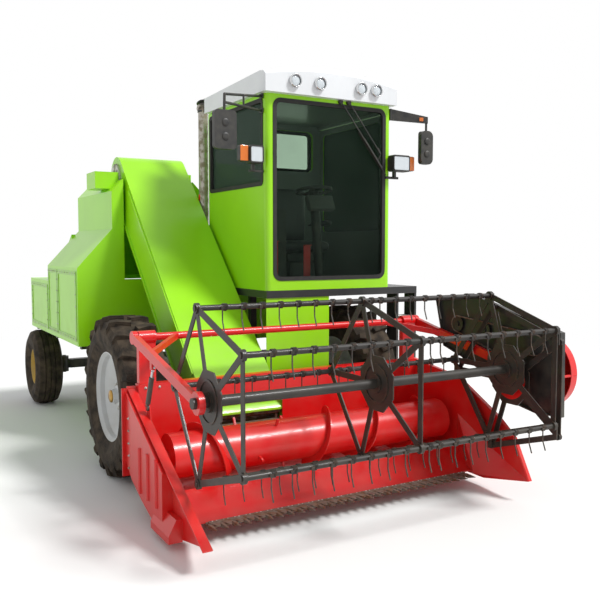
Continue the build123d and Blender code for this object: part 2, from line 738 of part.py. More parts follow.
def rounded_y(x0, x1, y0, y1, z0, z1, r):
    """Rounded rectangle in the XZ plane, pushed along Y."""
    plane = Plane(origin=((x0 + x1) / 2, y0, (z0 + z1) / 2), x_dir=(1, 0, 0), z_dir=(0, 1, 0))
    return extrude(plane * RectangleRounded(x1 - x0, z1 - z0, r), amount=y1 - y0)


def rounded_x(x0, x1, y0, y1, z0, z1, r):
    """Rounded rectangle in the YZ plane, pushed along X."""
    plane = Plane(origin=(x0, (y0 + y1) / 2, (z0 + z1) / 2), x_dir=(0, 1, 0), z_dir=(1, 0, 0))
    return extrude(plane * RectangleRounded(y1 - y0, z1 - z0, r), amount=x1 - x0)


def cab_frame():
    p = PILLAR
    frame = block(CAB_X0, CAB_X1, CAB_Y0, CAB_Y1, CAB_Z0, CAB_Z1)
    frame = fillet(frame.edges().filter_by(Axis.Z), CAB_ROUND)
    frame -= block(CAB_X0 + p, CAB_X1 - p, CAB_Y0 + p, CAB_Y1 - p, CAB_Z0 + 40, CAB_Z1 - TOP_RAIL)
    # Windscreen, right side window, rear window, door
    frame -= rounded_y(*FRONT_PANE_X, CAB_Y0 - 10, CAB_Y0 + p + 10, *FRONT_PANE_Z, FRONT_PANE_R)
    frame -= rounded_x(CAB_X0 - 10, CAB_X0 + p + 10, CAB_Y0 + p, CAB_Y1 - p, SIDE_SILL, CAB_Z1 - TOP_RAIL, 40)
    frame -= rounded_y(*REAR_PANE_X, CAB_Y1 - p - 10, CAB_Y1 + 10, *REAR_PANE_Z, REAR_PANE_R)
    frame -= block(CAB_X1 - p - 10, CAB_X1 + 10, CAB_Y0 + p, CAB_Y1 - p, CAB_Z0 + 40, CAB_Z1 - p)
    # Fixed half of the door's hinges
    for z in DOOR_HINGE_ZS:
        frame += block(CAB_X1 - 20, DOOR_PIN_X, DOOR_PIN_Y + 20, DOOR_PIN_Y + 50, z - 20, z + 20)
        frame += Pos(DOOR_PIN_X, DOOR_PIN_Y, z - 40) * Cylinder(DOOR_PIN_R, 80)
        frame += block(DOOR_PIN_X - 9, DOOR_PIN_X + 9, DOOR_PIN_Y, DOOR_PIN_Y + 50, z, z + 20)
    return frame


def roof_face(y, side, top, crown):
    """Section of the roof across the cab: flat below, low arc above."""
    x0, x1 = CAB_X0 - side, CAB_X1 + side * 0.3
    mid = (x0 + x1) / 2 - 60
    return make_face([
        Line((x0, y, CAB_Z1), (x1, y, CAB_Z1)),
        Line((x1, y, CAB_Z1), (x1, y, CAB_Z1 + top)),
        ThreePointArc((x1, y, CAB_Z1 + top), (mid, y, CAB_Z1 + top + crown), (x0, y, CAB_Z1 + top)),
        Line((x0, y, CAB_Z1 + top), (x0, y, CAB_Z1)),
    ])


def cab_roof():
    return loft([
        roof_face(CAB_Y0 - 65, 40, ROOF_T * 0.78, ROOF_CROWN * 0.9),
        roof_face(CAB_Y0 - 45, 47, ROOF_T * 0.94, ROOF_CROWN),
        roof_face(CAB_Y0 + 15, 50, ROOF_T, ROOF_CROWN),
        roof_face(CAB_Y1 - 60, 50, ROOF_T * 0.8, ROOF_CROWN * 0.8),
    ], ruled=True)


def cab_glass():
    p = PILLAR
    t = GLASS_T
    front = rounded_y(*FRONT_PANE_X, CAB_Y0 + 20, CAB_Y0 + 20 + t, *FRONT_PANE_Z, FRONT_PANE_R)
    side = rounded_x(CAB_X0 + 20, CAB_X0 + 20 + t, CAB_Y0 + p, CAB_Y1 - p, SIDE_SILL, CAB_Z1 - TOP_RAIL, 40)
    rear = rounded_y(*REAR_PANE_X, CAB_Y1 - 20 - t, CAB_Y1 - 20, *REAR_PANE_Z, REAR_PANE_R)
    return [front, side, rear]


def cab_door():
    p = PILLAR + DOOR_GAP
    x0, x1 = CAB_X1 - 35, CAB_X1
    z0, z1 = CAB_Z0 + 40 + DOOR_GAP, CAB_Z1 - PILLAR - DOOR_GAP
    door = block(x0, x1, CAB_Y0 + p, CAB_Y1 - p, z0, z1)
    door -= rounded_x(x0 - 10, x1 + 10, CAB_Y0 + p + 50, CAB_Y1 - p - 50, z0 + 450, z1 - 50, 40)
    # Hinge knuckles, which sit on the cab's pins
    for z in DOOR_HINGE_ZS:
        door += block(x1 - 5, DOOR_PIN_X, DOOR_PIN_Y - 40, DOOR_PIN_Y - 6, z - 78, z - 2)
        door += Pos(DOOR_PIN_X, DOOR_PIN_Y, z - 40) * Cylinder(DOOR_PIN_R + 8, 76)
        door -= Pos(DOOR_PIN_X, DOOR_PIN_Y, z - 40) * Cylinder(DOOR_PIN_R + RUN_GAP, 100)
    # Upright grab bar on the door's frame, below and above its glass
    grab_x, grab_y = x1 + 32, CAB_Y0 + p + 25
    door += rod((grab_x, grab_y, z0 + 430), (grab_x, grab_y, z1 - 120), DOOR_GRAB_R)
    for z in (z0 + 470, z1 - 160):
        door += rod((x1 - 5, grab_y, z), (grab_x, grab_y, z), DOOR_GRAB_R * 0.8)
    return door


def door_glass():
    p = PILLAR + DOOR_GAP + 50
    z0 = CAB_Z0 + 40 + DOOR_GAP + 450
    z1 = CAB_Z1 - PILLAR - DOOR_GAP - 50
    return rounded_x(CAB_X1 - 22, CAB_X1 - 16, CAB_Y0 + p, CAB_Y1 - p, z0, z1, 40)


def seat():
    x = (CAB_X0 + CAB_X1) / 2
    y = 120
    z = CAB_Z0 + 40
    base = block(x - 130, x + 130, y - 130, y + 130, z, z + 180)
    base += block(x - 190, x + 190, y - 190, y + 190, z + 180, z + 260)
    cushion = block(x - 240, x + 240, y - 230, y + 220, z + 260, z + 370)
    cushion = fillet(cushion.edges().filter_by(Axis.Z), 60)
    back = rounded_y(x - 195, x + 195, y + 120, y + 220, z + 330, z + 850, 90)
    arms = block(x - 300, x + 300, y + 140, y + 180, z + 510, z + 540)
    for s in (-1, 1):
        arms += block(*sorted((x + s * 240, x + s * 300)), y - 150, y + 180, z + 500, z + 550)
    return base + cushion + back + arms


def cab_controls():
    x = (CAB_X0 + CAB_X1) / 2
    floor_z = CAB_Z0 + 40
    wheel_z = WHEEL_RIM_Z
    post = rod((x, -300, floor_z + 10), (x, -200, wheel_z), 40)
    post += block(x - 60, x + 60, -360, -240, floor_z, floor_z + 20)
    top = Plane(origin=(x, -200, wheel_z), z_dir=(0, 0.15, 1))
    wheel = extrude(top * (Circle(WHEEL_RIM_R) - Circle(WHEEL_RIM_R - 22)), amount=24)
    spokes = extrude(top * (Rectangle(WHEEL_RIM_R * 2 - 20, 30) + Circle(45)), amount=20)
    console = block(x - 480, x - 330, -300, 250, floor_z, floor_z + 620)
    for y, lean in LEVERS:
        foot = (x - 405, y, floor_z + 610)
        tip = (x - 405, y + lean, floor_z + 850)
        console += rod(foot, tip, 8) + Pos(*tip) * Sphere(20)
    return [post + wheel + spokes, console]


def cab_deck():
    deck = block(CAB_X0, DECK_X1, CAB_Y0, CAB_Y1 + 40, DECK_BOTTOM, DECK_TOP)
    panel = block(CAB_X0, 560, CAB_Y0 + 10, CAB_Y0 + 14, 760, DECK_BOTTOM)
    return deck, panel


def ladder():
    x0, x1 = LADDER_X0, DECK_X1
    y0, y1 = CAB_Y0 + 2, CAB_Y0 + 150
    steps = block(x0, x0 + 20, y0, y1, 420, DECK_BOTTOM) + block(x1 - 20, x1, y0, y1, 420, DECK_BOTTOM)
    for k in range(4):
        z = 440 + k * 240
        steps += block(x0 + 10, x1 - 10, y0, y1, z, z + 25)
    return steps


def handrail():
    """Grab rail at the platform's rear edge, clear of the door's swing."""
    y = CAB_Y1 - GRAB_R - 6
    x = DECK_X1 - GRAB_R - 2
    rail = rod((x, y, DECK_TOP), (x, y, GRAB_TOP), GRAB_R)
    rail += rod((x, y, GRAB_TOP), (CAB_X1, y, GRAB_TOP), GRAB_R)
    return rail + Pos(x, y, GRAB_TOP) * Sphere(GRAB_R)


def exhaust():
    """Upright pipe with its elbow into the hood's side and a rain cap."""
    x, y = bin_left_x() - 75, CAB_Y1 + 150
    low = SHOULDER_Z - 110
    pipe = rod((x, y, low), (x, y, 3080), EXHAUST_R)
    pipe += Pos(x, y, low) * Sphere(EXHAUST_R)
    pipe += rod((x, y, low), (bin_left_x(), y, low), EXHAUST_R)
    return pipe + rod((x, y, 3080), (x, y + 30, 3100), EXHAUST_R + 6)


def mirrors():
    """Both rear-view mirrors, each with its feet on a cab pillar."""
    y = CAB_Y0 + 70
    x = CAB_X0
    corner = (x - 479, MIRROR_Y, 2898)
    low = (x - 480, MIRROR_Y, 2840)
    right = tube_path([(x - 8, y, 2985), corner, (x - 482, MIRROR_Y, 2770)], MIRROR_TUBE_R)
    right += tube_path([(x - 8, y, 2873), low], MIRROR_TUBE_R)
    right += tube_path([(x - 250, y - 180, 2939), (x - 250, y - 180, 2857)], MIRROR_TUBE_R * 0.8)
    for z in (2985, 2873):
        right += block(x - 14, x, y - 25, y + 25, z - 18, z + 18)
    right += rounded_y(x - 568, x - 393, MIRROR_Y - 22, MIRROR_Y + 22, 2504, 2784, 30)
    x = CAB_X1
    y = CAB_Y0 + 34
    root = Vector(x + 14, y, 0)
    elbow = Vector(x + 303, MIRROR_Y + 150, 0)
    arm = make_face(Polyline(root + Vector(0, 0, 2893), root + Vector(0, 0, 2990), elbow + Vector(0, 0, 2921),
                             elbow + Vector(0, 0, 2866), close=True))
    left = extrude(arm, amount=22)
    left += block(x, x + 14, y - 25, y + 25, 2893, 2990)
    left += tube_path([(elbow.X - 14, elbow.Y, 2890), (elbow.X - 14, elbow.Y, 2780)], MIRROR_TUBE_R)
    left += rounded_y(x + 222, x + 352, elbow.Y - 20, elbow.Y + 20, 2515, 2803, 50)
    return right, left


def tube_path(points, r):
    """Round tube through points, with a ball at each bend."""
    out = rod(points[0], points[1], r)
    for p, q in zip(points[1:], points[2:]):
        out += Pos(*p) * Sphere(r)
        out += rod(p, q, r)
    return out


def lamps():
    """Four round work lamps on the roof's front face."""
    y, z = CAB_Y0 - 65, CAB_Z1 + 99
    out = []
    for x in (CAB_X0 + 218, CAB_X0 + 449, CAB_X1 - 363, CAB_X1 - 210):
        bowl = rod((x, y, z), (x, y - 30, z), LAMP_R)
        out.append(bowl - rod((x, y - 12, z), (x, y - 40, z), LAMP_R - 7))
    return out


def headlamps():
    """Headlamps with their side lights, on brackets from the cab's front pillars."""
    y = CAB_Y0
    x = CAB_X0
    low, high = 2446, 2586
    right = rounded_y(x - 170, x - 48, y - 50, y + 30, low, high, 20)
    right += rounded_y(x - 244, x - 172, y - 30, y + 20, low + 12, high - 3, 16)
    right += block(x - 230, x - 80, y, y + 14, low + 30, low + 80)
    right += block(x - 120, x - 96, y + 14, y + 38, low - 50, low + 30)
    right += block(x - 130, x, y + 45, y + 59, low - 58, low - 40)
    right += block(x - 130, x - 80, y + 14, y + 59, low - 58, low - 50)
    x = CAB_X1
    left = rounded_y(x - 42, x + 142, y - 90, y - 14, low, high, 20)
    left += rounded_y(x + 144, x + 210, y - 60, y - 14, low + 12, high - 3, 16)
    left += block(x + 60, x + 190, y - 40, y - 14, low + 30, low + 80)
    left += block(x + 6, x + 30, y - 40, y - 14, low - 50, low + 10)
    left += block(x - 58, x + 70, y - 20, y, low - 60, low - 40)
    return right, left


# Header

FLOOR_FRONT_Y = KNIFE_Y + 60
TROUGH_R = AUGER_FLIGHT_R + 35
PAN_T = 8.0
PAN_TOP_Z = KNIFE_Z - 14 + PAN_T + RUN_GAP

# Upper edge of each end wall as (y, z), from the back to the nose
RIGHT_EDGE = [(-750.0, 840.0), (DIVIDER_TIP_Y, DIVIDER_TIP_Z)]
LEFT_EDGE = [
    (-780.0, 860.0),
    (-1350.0, 780.0),
    (-1780.0, 550.0),
    (-1940.0, 430.0),
    (DIVIDER_TIP_Y, DIVIDER_TIP_Z),
]


def trough_pan():
    """Floor and back of the header, one bent sheet with a round trough under the auger."""
    outer_r, inner_r = TROUGH_R + PAN_T, TROUGH_R
    low_a, back_a = math.radians(232), math.radians(330)

    def on(r, a):
        return (-END_X, AUGER_Y + r * math.cos(a), AUGER_Z + r * math.sin(a))

    mid_a = (low_a + back_a) / 2
    back_y = HEADER_BACK_Y
    edge = [
        Line((-END_X, FLOOR_FRONT_Y, KNIFE_Z - 14), on(outer_r, low_a)),
        ThreePointArc(on(outer_r, low_a), on(outer_r, mid_a), on(outer_r, back_a)),
        Line(on(outer_r, back_a), (-END_X, back_y, 380)),
        Line((-END_X, back_y, 380), (-END_X, back_y, HEADER_BACK_TOP)),
        Line((-END_X, back_y, HEADER_BACK_TOP), (-END_X, back_y - PAN_T, HEADER_BACK_TOP)),
        Line((-END_X, back_y - PAN_T, HEADER_BACK_TOP), (-END_X, back_y - PAN_T, 384)),
        Line((-END_X, back_y - PAN_T, 384), on(inner_r, back_a)),
        ThreePointArc(on(inner_r, back_a), on(inner_r, mid_a), on(inner_r, low_a)),
        Line(on(inner_r, low_a), (-END_X, FLOOR_FRONT_Y, KNIFE_Z - 14 + PAN_T)),
        Line((-END_X, FLOOR_FRONT_Y, KNIFE_Z - 14 + PAN_T), (-END_X, FLOOR_FRONT_Y, KNIFE_Z - 14)),
    ]
    return extrude(make_face(edge), amount=2 * END_X, dir=(1, 0, 0))


def end_wall(s):
    """End sheet with the stiffening rail that follows its upper edge to the nose."""
    upper = RIGHT_EDGE if s < 0 else LEFT_EDGE
    outline = upper + [
        (-1650, 60),
        (-1330, 62),
        (-1130, 130),
        (-900, 250),
        (upper[0][0], 420),
    ]
    x = sorted((s * END_X, s * (END_X + WALL_T)))
    wall = prism_x(x[0], x[1], outline)
    rail_w = RAIL_W_TOP if s < 0 else RAIL_W_TOP / 2
    rail_x = s * (END_X + 5 + rail_w / 2)
    for (y0, z0), (y1, z1) in zip(upper, upper[1:]):
        wall += bar((rail_x, y0, z0), (rail_x, y1, z1), RAIL_T, rail_w, up=(1, 0, 0))
    return wall


def end_box():
    """Closed right-hand side box: its ribbed panel, the wing behind it and the skid toe."""
    x0, x1 = -PANEL_X, -END_X - WALL_T
    box = prism_x(x0, x1, [
        (-780, 810),
        (-780, 330),
        (-900, 230),
        (-1100, 150),
        (-1330, 80),
        (-1500, 80),
        (-1500, 430),
    ])
    for y in (-1080, -1240, -1400):
        box += Pos(x0, y, 340) * Cylinder(RIB_R, 300)
    wing = block(-WING_X, x1, -780, -768, 225, 835)
    toe = prism_y(-1660, -1340, [
        (x1, 50),
        (-SKID_X, 50),
        (-SKID_X, 95),
        (-PANEL_X + 30, 190),
        (x1, 190),
    ])
    return box + wing + toe


def back_posts():
    """Posts and bearings that carry the reel lift tube, and the top beam."""
    out = []
    for s in (-1, 1):
        x0, x1 = sorted((s * (END_X - 10 - POST_W), s * (END_X - 10)))
        post = block(x0, x1, TOP_TUBE_Y - 25, TOP_TUBE_Y + 25, HEADER_BACK_TOP - 80, TOP_TUBE_Z)
        post += disc_x(x0, x1, TOP_TUBE_Y, TOP_TUBE_Z, TOP_TUBE_R + 20)
        post -= disc_x(x0 - 5, x1 + 5, TOP_TUBE_Y, TOP_TUBE_Z, TOP_TUBE_R + RUN_GAP)
        out.append(post)
    return out


def header_frame():
    pan = trough_pan()
    # Mouth into the conveyor
    pan -= block(CONV_X0 + 20, CONV_X1 - 20, HEADER_BACK_Y - 60, HEADER_BACK_Y + 20, MOUTH_Z0, MOUTH_Z1)
    for s in (-1, 1):
        pan += end_wall(s)
    pan += end_box()
    pan += block(-END_X, END_X, HEADER_BACK_Y, HEADER_BACK_Y + 60, HEADER_BACK_TOP - 60, HEADER_BACK_TOP)
    for post in back_posts():
        pan += post
    for x in LIFT_XS:
        for side in (-1, 1):
            plate_x = sorted((x + side * (EYE_T / 2 + RUN_GAP), x + side * (EYE_T / 2 + RUN_GAP + LUG_T)))
            pan += block(plate_x[0], plate_x[1], HEADER_BACK_Y - 4, LIFT_EYE[0] + 24,
                         LIFT_EYE[1] - 24, LIFT_EYE[1] + 50)
        pan += disc_x(x - EYE_T / 2 - LUG_T, x + EYE_T / 2 + LUG_T, *LIFT_EYE, LIFT_PIN_R)
    # Lug of the reel lift cylinder, on the right end wall
    pan += prism_x(-ARM_X + EYE_T / 2 + RUN_GAP, -END_X, [
        (REEL_CYL_BASE[0] - 20, REEL_CYL_BASE[1] + 16),
        (REEL_CYL_BASE[0] + 20, REEL_CYL_BASE[1] + 16),
        (REEL_CYL_BASE[0] + 50, REEL_CYL_BASE[1] - 110),
        (REEL_CYL_BASE[0] - 50, REEL_CYL_BASE[1] - 110),
    ])
    pan += disc_x(-ARM_X - EYE_T / 2 - 3, -END_X, *REEL_CYL_BASE, REEL_PIN_R)
    return pan


def dividers():
    """Noses inside each end wall: a flat-sided wedge from the knife's end to the tip."""
    out = []
    for s in (-1, 1):
        tip = Vector(s * END_X, DIVIDER_TIP_Y, DIVIDER_TIP_Z)
        low_in = Vector(s * DIVIDER_X, KNIFE_Y - 20, PAN_TOP_Z)
        low_out = Vector(s * END_X, KNIFE_Y - 20, PAN_TOP_Z)
        top = Vector(s * END_X, KNIFE_Y - 20, DIVIDER_TOP_Z)
        back = Vector(s * END_X, KNIFE_Y + 290, 180)
        back_top = Vector(s * END_X, KNIFE_Y + 290, 500)
        nose = wedge([tip, low_in, low_out, top], [(0, 1, 2), (0, 3, 1), (0, 2, 3), (1, 3, 2)])
        tail = wedge([low_in, low_out, top, back, back_top],
                     [(0, 2, 1), (0, 1, 3), (0, 3, 4), (0, 4, 2), (1, 2, 4, 3)])
        out.append(nose + (tail - trough_pan()))
    return out


def wedge(points, faces):
    sides = [make_face(Polyline(*[points[k] for k in face], close=True)) for face in faces]
    return Solid(Shell(sides))


def cutter_guards():
    span = GUARD_COUNT * GUARD_PITCH
    base = block(-span / 2 - 10, span / 2 + 10, KNIFE_Y - 10, FLOOR_FRONT_Y, KNIFE_Z - 24, KNIFE_Z - 14)
    for k in range(GUARD_COUNT + 1):
        x = -span / 2 + k * GUARD_PITCH
        base += prism_x(x - 11, x + 11, [
            (KNIFE_Y + 6, KNIFE_Z - 24),
            (KNIFE_Y - 40, KNIFE_Z - 24),
            (KNIFE_Y - GUARD_LEN, KNIFE_Z - 4),
            (KNIFE_Y - GUARD_LEN, KNIFE_Z - RUN_GAP),
            (KNIFE_Y + 6, KNIFE_Z - RUN_GAP),
        ]) & prism_z(KNIFE_Z - 40, KNIFE_Z + 20, [
            (x - 11, KNIFE_Y + 6),
            (x - 11, KNIFE_Y - 30),
            (x - 2, KNIFE_Y - GUARD_LEN),
            (x + 2, KNIFE_Y - GUARD_LEN),
            (x + 11, KNIFE_Y - 30),
            (x + 11, KNIFE_Y + 6),
        ])
    return base


def knife():
    span = GUARD_COUNT * GUARD_PITCH
    back = block(-span / 2, span / 2, KNIFE_Y + 5, KNIFE_Y + 30, KNIFE_Z + 0.0, KNIFE_Z + 7)
    for k in range(GUARD_COUNT):
        x = -span / 2 + (k + 0.5) * GUARD_PITCH
        back += prism_z(KNIFE_Z + 0.0, KNIFE_Z + 3, [
            (x - 36, KNIFE_Y + 10),
            (x - 8, KNIFE_Y - 60),
            (x + 8, KNIFE_Y - 60),
            (x + 36, KNIFE_Y + 10),
        ])
    return back


def flight(x0, x1, hand):
    """One auger flight round the drum from x0 to x1. hand is +1 or -1."""
    length = x1 - x0
    path = Pos(x0, AUGER_Y, AUGER_Z) * Rot(0, 90, 0) * Helix(
        FLIGHT_PITCH, length, (AUGER_DRUM_R + AUGER_FLIGHT_R) / 2, lefthand=hand < 0)
    start = path @ 0
    depth = AUGER_FLIGHT_R - AUGER_DRUM_R + 4
    radial = (start - Vector(x0, AUGER_Y, AUGER_Z)).normalized()
    plane = Plane(origin=start - radial * 2, x_dir=radial, z_dir=path % 0)
    axis = Edge.make_line((x0 - 100, AUGER_Y, AUGER_Z), (x1 + 100, AUGER_Y, AUGER_Z))
    return sweep(plane * Rectangle(depth, FLIGHT_T), path, binormal=axis)


def auger():
    half = END_X - AUGER_END_GAP
    drum = disc_x(-half, half, AUGER_Y, AUGER_Z, AUGER_DRUM_R)
    drum += disc_x(-END_X + RUN_GAP, END_X - RUN_GAP, AUGER_Y, AUGER_Z, AUGER_STUB_R)
    drum += flight(-half + 8, FLIGHT_RIGHT_X, 1)
    drum += flight(FLIGHT_LEFT_X, half - 8, -1)
    # Retracting fingers in front of the conveyor's mouth
    for k, x in enumerate((-610, -530, -450, -370, -290, -210)):
        a = math.radians(60 + 140 * k)
        y, z = math.cos(a), math.sin(a)
        drum += bar((x, AUGER_Y + y * 140, AUGER_Z + z * 140),
                    (x, AUGER_Y + y * AUGER_FLIGHT_R, AUGER_Z + z * AUGER_FLIGHT_R), 14, 14, up=(1, 0, 0))
    return drum


def reel_vertices():
    out = []
    for k in range(REEL_BARS):
        a = math.radians(180 + 36 - k * 72)
        out.append((REEL_Y + REEL_R * math.cos(a), REEL_Z + REEL_R * math.sin(a)))
    return out


def reel_star(x, cy, cz, plate_r, hub_hole, boss_hole):
    """Five-armed star in the plane x: hub plate, spokes, straps round the rim and bosses for the bars."""
    points = [(y - REEL_Y + cy, z - REEL_Z + cz) for y, z in reel_vertices()]
    plane = Plane(origin=(x - STRAP_T / 2, cy, cz), z_dir=(1, 0, 0))
    octagon = plane * RegularPolygon(plate_r, 8, rotation=22.5)
    star = extrude(octagon, amount=STRAP_T)
    for k, (y, z) in enumerate(points):
        star += bar((x, cy, cz), (x, y, z), STRAP_W, STRAP_T, up=(1, 0, 0))
        y2, z2 = points[(k + 1) % REEL_BARS]
        star += bar((x, y, z), (x, y2, z2), STRAP_W, STRAP_T, up=(1, 0, 0))
        star += disc_x(x - 12, x + 12, y, z, boss_hole + 14)
    for y, z in points:
        star -= disc_x(x - 30, x + 30, y, z, boss_hole)
    if hub_hole:
        star -= disc_x(x - 30, x + 30, cy, cz, hub_hole)
    return star


def reel():
    """Three stars, each clamped on the shaft by its boss."""
    stars = []
    for x in (-REEL_HALF, 0, REEL_HALF - 30):
        star = reel_star(x, REEL_Y, REEL_Z, HUB_PLATE_R, 0, BAR_R + RUN_GAP)
        star += ring_x(x - 10, x + 10, REEL_Y, REEL_Z, HUB_RING_R, HUB_RING_R - 12)
        star += disc_x(x - 16, x + 16, REEL_Y, REEL_Z, 60)
        stars.append(star - disc_x(x - 20, x + 20, REEL_Y, REEL_Z, REEL_SHAFT_R + RUN_GAP))
    return stars


def reel_shaft():
    return disc_x(-ARM_X - 40, SHEAVE_X1, REEL_Y, REEL_Z, REEL_SHAFT_R)


def reel_sheave():
    """Drive sheave on the shaft's end at the machine's left."""
    x0, x1 = SHEAVE_X1 - 50, SHEAVE_X1
    sheave = disc_x(x0, x1, REEL_Y, REEL_Z, SHEAVE_R)
    sheave -= disc_x(x0 - 5, x1 + 5, REEL_Y, REEL_Z, REEL_SHAFT_R + RUN_GAP)
    return sheave - ring_x(x0 + 14, x1 - 14, REEL_Y, REEL_Z, SHEAVE_R + 10, SHEAVE_R - 18)


def reel_bar():
    """Tube with spring tines, and the crank that the offset star holds to keep the tines hanging."""
    tube = disc_x(-REEL_HALF - 18, REEL_HALF, 0, 0, BAR_R)
    count = int(2 * (REEL_HALF - 90) / TINE_PITCH)
    for k in range(count + 1):
        x = (k - count / 2) * TINE_PITCH
        if abs(x) < 40:
            x = 50
        foot_y = -BAR_R - 6
        bend = (x, foot_y, -TINE_LEN * 0.55)
        tip = (x, -BAR_R - TINE_BACK, -TINE_LEN)
        tube += block(x - 9, x + 9, foot_y - 5, 0, -10, 6)
        tube += bar((x, foot_y, 0), bend, TINE_W, TINE_W, up=(1, 0, 0))
        tube += bar(bend, tip, TINE_W, TINE_W, up=(1, 0, 0))
    crank_x = REEL_HALF
    tube += bar((crank_x - 6, 0, 16), (crank_x - 6, 0, -ECCENTRIC_DROP - 16), 30, 12, up=(1, 0, 0))
    return tube + disc_x(crank_x - 10, crank_x + 38, 0, -ECCENTRIC_DROP, CRANK_PIN_R)


OFFSET_X = REEL_HALF + 22
OFFSET_Z = REEL_Z - ECCENTRIC_DROP
OFFSET_HUB_R = 140.0


def reel_offset_star():
    return reel_star(OFFSET_X, REEL_Y, OFFSET_Z, HUB_PLATE_R, OFFSET_HUB_R, CRANK_PIN_R + RUN_GAP)


def reel_arms():
    """Lift tube with both arms and their braces, which turn together in the posts' bearings."""
    frame = disc_x(-ARM_X - ARM_T / 2, ARM_X + ARM_T / 2, TOP_TUBE_Y, TOP_TUBE_Z, TOP_TUBE_R)
    for s in (-1, 1):
        x = s * ARM_X
        frame += bar((x, TOP_TUBE_Y, TOP_TUBE_Z), (x, REEL_Y, REEL_Z), ARM_H, ARM_T, up=(1, 0, 0))
        frame += disc_x(x - ARM_T / 2, x + ARM_T / 2, TOP_TUBE_Y, TOP_TUBE_Z, TOP_TUBE_R + 20)
        frame += disc_x(x - ARM_T / 2, x + ARM_T / 2, REEL_Y, REEL_Z, REEL_SHAFT_R + 34)
        drop = (REEL_Z - TOP_TUBE_Z) / (REEL_Y - TOP_TUBE_Y)
        frame += bar((s * BRACE_X, TOP_TUBE_Y, TOP_TUBE_Z),
                     (x, TOP_TUBE_Y - BRACE_REACH, TOP_TUBE_Z - BRACE_REACH * drop), 30, 40)
        frame -= disc_x(x - 60, x + 60, REEL_Y, REEL_Z, REEL_SHAFT_R + RUN_GAP)
    # Lug for the lift cylinder's rod
    x = -ARM_X
    frame += block(x - ARM_T / 2, x - EYE_T / 2 - RUN_GAP, REEL_CYL_EYE[0] - 18, REEL_CYL_EYE[0] + 18,
                   REEL_CYL_EYE[1] - 18, REEL_CYL_EYE[1] + 50)
    frame += disc_x(x - ARM_T / 2, x + EYE_T / 2, *REEL_CYL_EYE, REEL_PIN_R)
    # Fixed disc that holds the offset star
    x0, x1 = OFFSET_X - 6, ARM_X - ARM_T / 2
    hub = disc_x(x0, x1, REEL_Y, OFFSET_Z, OFFSET_HUB_R - RUN_GAP)
    hub -= disc_x(x0 - 5, x1 + 5, REEL_Y, REEL_Z, REEL_SHAFT_R + 6)
    return frame + hub


# Outline of the reel's drive case as (y, z)
CASE_EDGE = [
    (-1000, 1370),
    (-1400, 1440),
    (-2290, 1220),
    (-2300, 640),
    (-2080, 630),
    (-1890, 660),
    (-1780, 730),
    (-1700, 840),
    (-1590, 835),
    (-1330, 930),
    (-1100, 1000),
]
SPROCKETS = [(-1250, 1190, 60), (-1550, 1170, 55), (-1690, 1060, 50), (-2060, 1110, 70)]


def reel_drive():
    """Open chain case along the left arm, its sprockets, and the domed cover over the sheave."""
    x0, x1 = CASE_X0, CASE_X0 + 44
    case = prism_x(x0, x1, CASE_EDGE)
    inner = offset(Polyline(*[(x0 - 5, y, z) for y, z in CASE_EDGE], close=True), -8)
    case -= extrude(make_face(inner), amount=39, dir=(1, 0, 0))
    case -= disc_x(x0 - 5, x1 + 5, REEL_Y, REEL_Z, REEL_SHAFT_R + 6)
    for y, z, r in SPROCKETS:
        case += disc_x(x0 + 14, x0 + 22, y, z, r) + disc_x(x0 + 4, x1, y, z, 20)
    # Spacers that bolt the case to the arm
    for y in (-1150, -1500):
        z = TOP_TUBE_Z + (y - TOP_TUBE_Y) * (REEL_Z - TOP_TUBE_Z) / (REEL_Y - TOP_TUBE_Y)
        case += disc_x(ARM_X + ARM_T / 2, x1, y, z, 16)
    return case


def reel_cover():
    profile = [
        (COVER_X1 - 130, COVER_R + 40),
        (COVER_X1 - 60, COVER_R + 30),
        (COVER_X1 - 50, COVER_R),
        (COVER_X1 - 20, COVER_R * 0.82),
        (COVER_X1, COVER_R * 0.45),
        (COVER_X1, 0),
        (COVER_X1 - 6, 0),
        (COVER_X1 - 6, COVER_R * 0.43),
        (COVER_X1 - 26, COVER_R * 0.79),
        (COVER_X1 - 56, COVER_R - 8),
        (COVER_X1 - 66, COVER_R + 22),
        (COVER_X1 - 130, COVER_R + 32),
    ]
    cover = spun_x(0, COVER_Y, COVER_Z, profile)
    for a in (60, 180, 300):
        y = COVER_Y + (COVER_R + 28) * math.cos(math.radians(a))
        z = COVER_Z + (COVER_R + 28) * math.sin(math.radians(a))
        cover += disc_x(CASE_X0 + 44, COVER_X1 - 70, y, z, 10)
    return cover


for side, s in (("right", -1), ("left", 1)):
    save(f"drive_tyre_{side}", drive_tyre(s * DRIVE_TRACK / 2))
    save(f"drive_rim_{side}", drive_rim(s * DRIVE_TRACK / 2, s))
    save(f"steer_tyre_{side}", steer_tyre(s * STEER_TRACK / 2))
    save(f"steer_rim_{side}", steer_rim(s * STEER_TRACK / 2, s))
    save(f"knuckle_{side}", knuckle(s))
save("chassis_frame", chassis())
save("front_axle", front_axle())
save("rear_axle", rear_axle())
save("engine", engine())
save("rear_hitch", rear_hitch())
save("crop_bin", crop_bin())
save("side_panels", *side_panels())
save("tail_door", tail_door())
save("engine_hood", engine_hood())
save("conveyor_trunk", conveyor_trunk())
save("conveyor_head", conveyor_head())
save("conveyor_chain", conveyor_chain())
save("cab_frame", cab_frame())
save("cab_roof", cab_roof())
save("cab_glass", *cab_glass())
save("cab_door", cab_door())
save("door_glass", door_glass())
save("seat", seat())
save("cab_controls", *cab_controls())
deck, panel = cab_deck()
save("cab_deck", deck)
save("front_panel", panel)
save("ladder", ladder())
save("handrail", handrail())
save("exhaust", exhaust())
save("mirrors", *mirrors())
save("lamps", *lamps())
save("headlamps", *headlamps())
save("header_frame", header_frame())
save("dividers", *dividers())
save("cutter_guards", cutter_guards())
save("knife", knife())
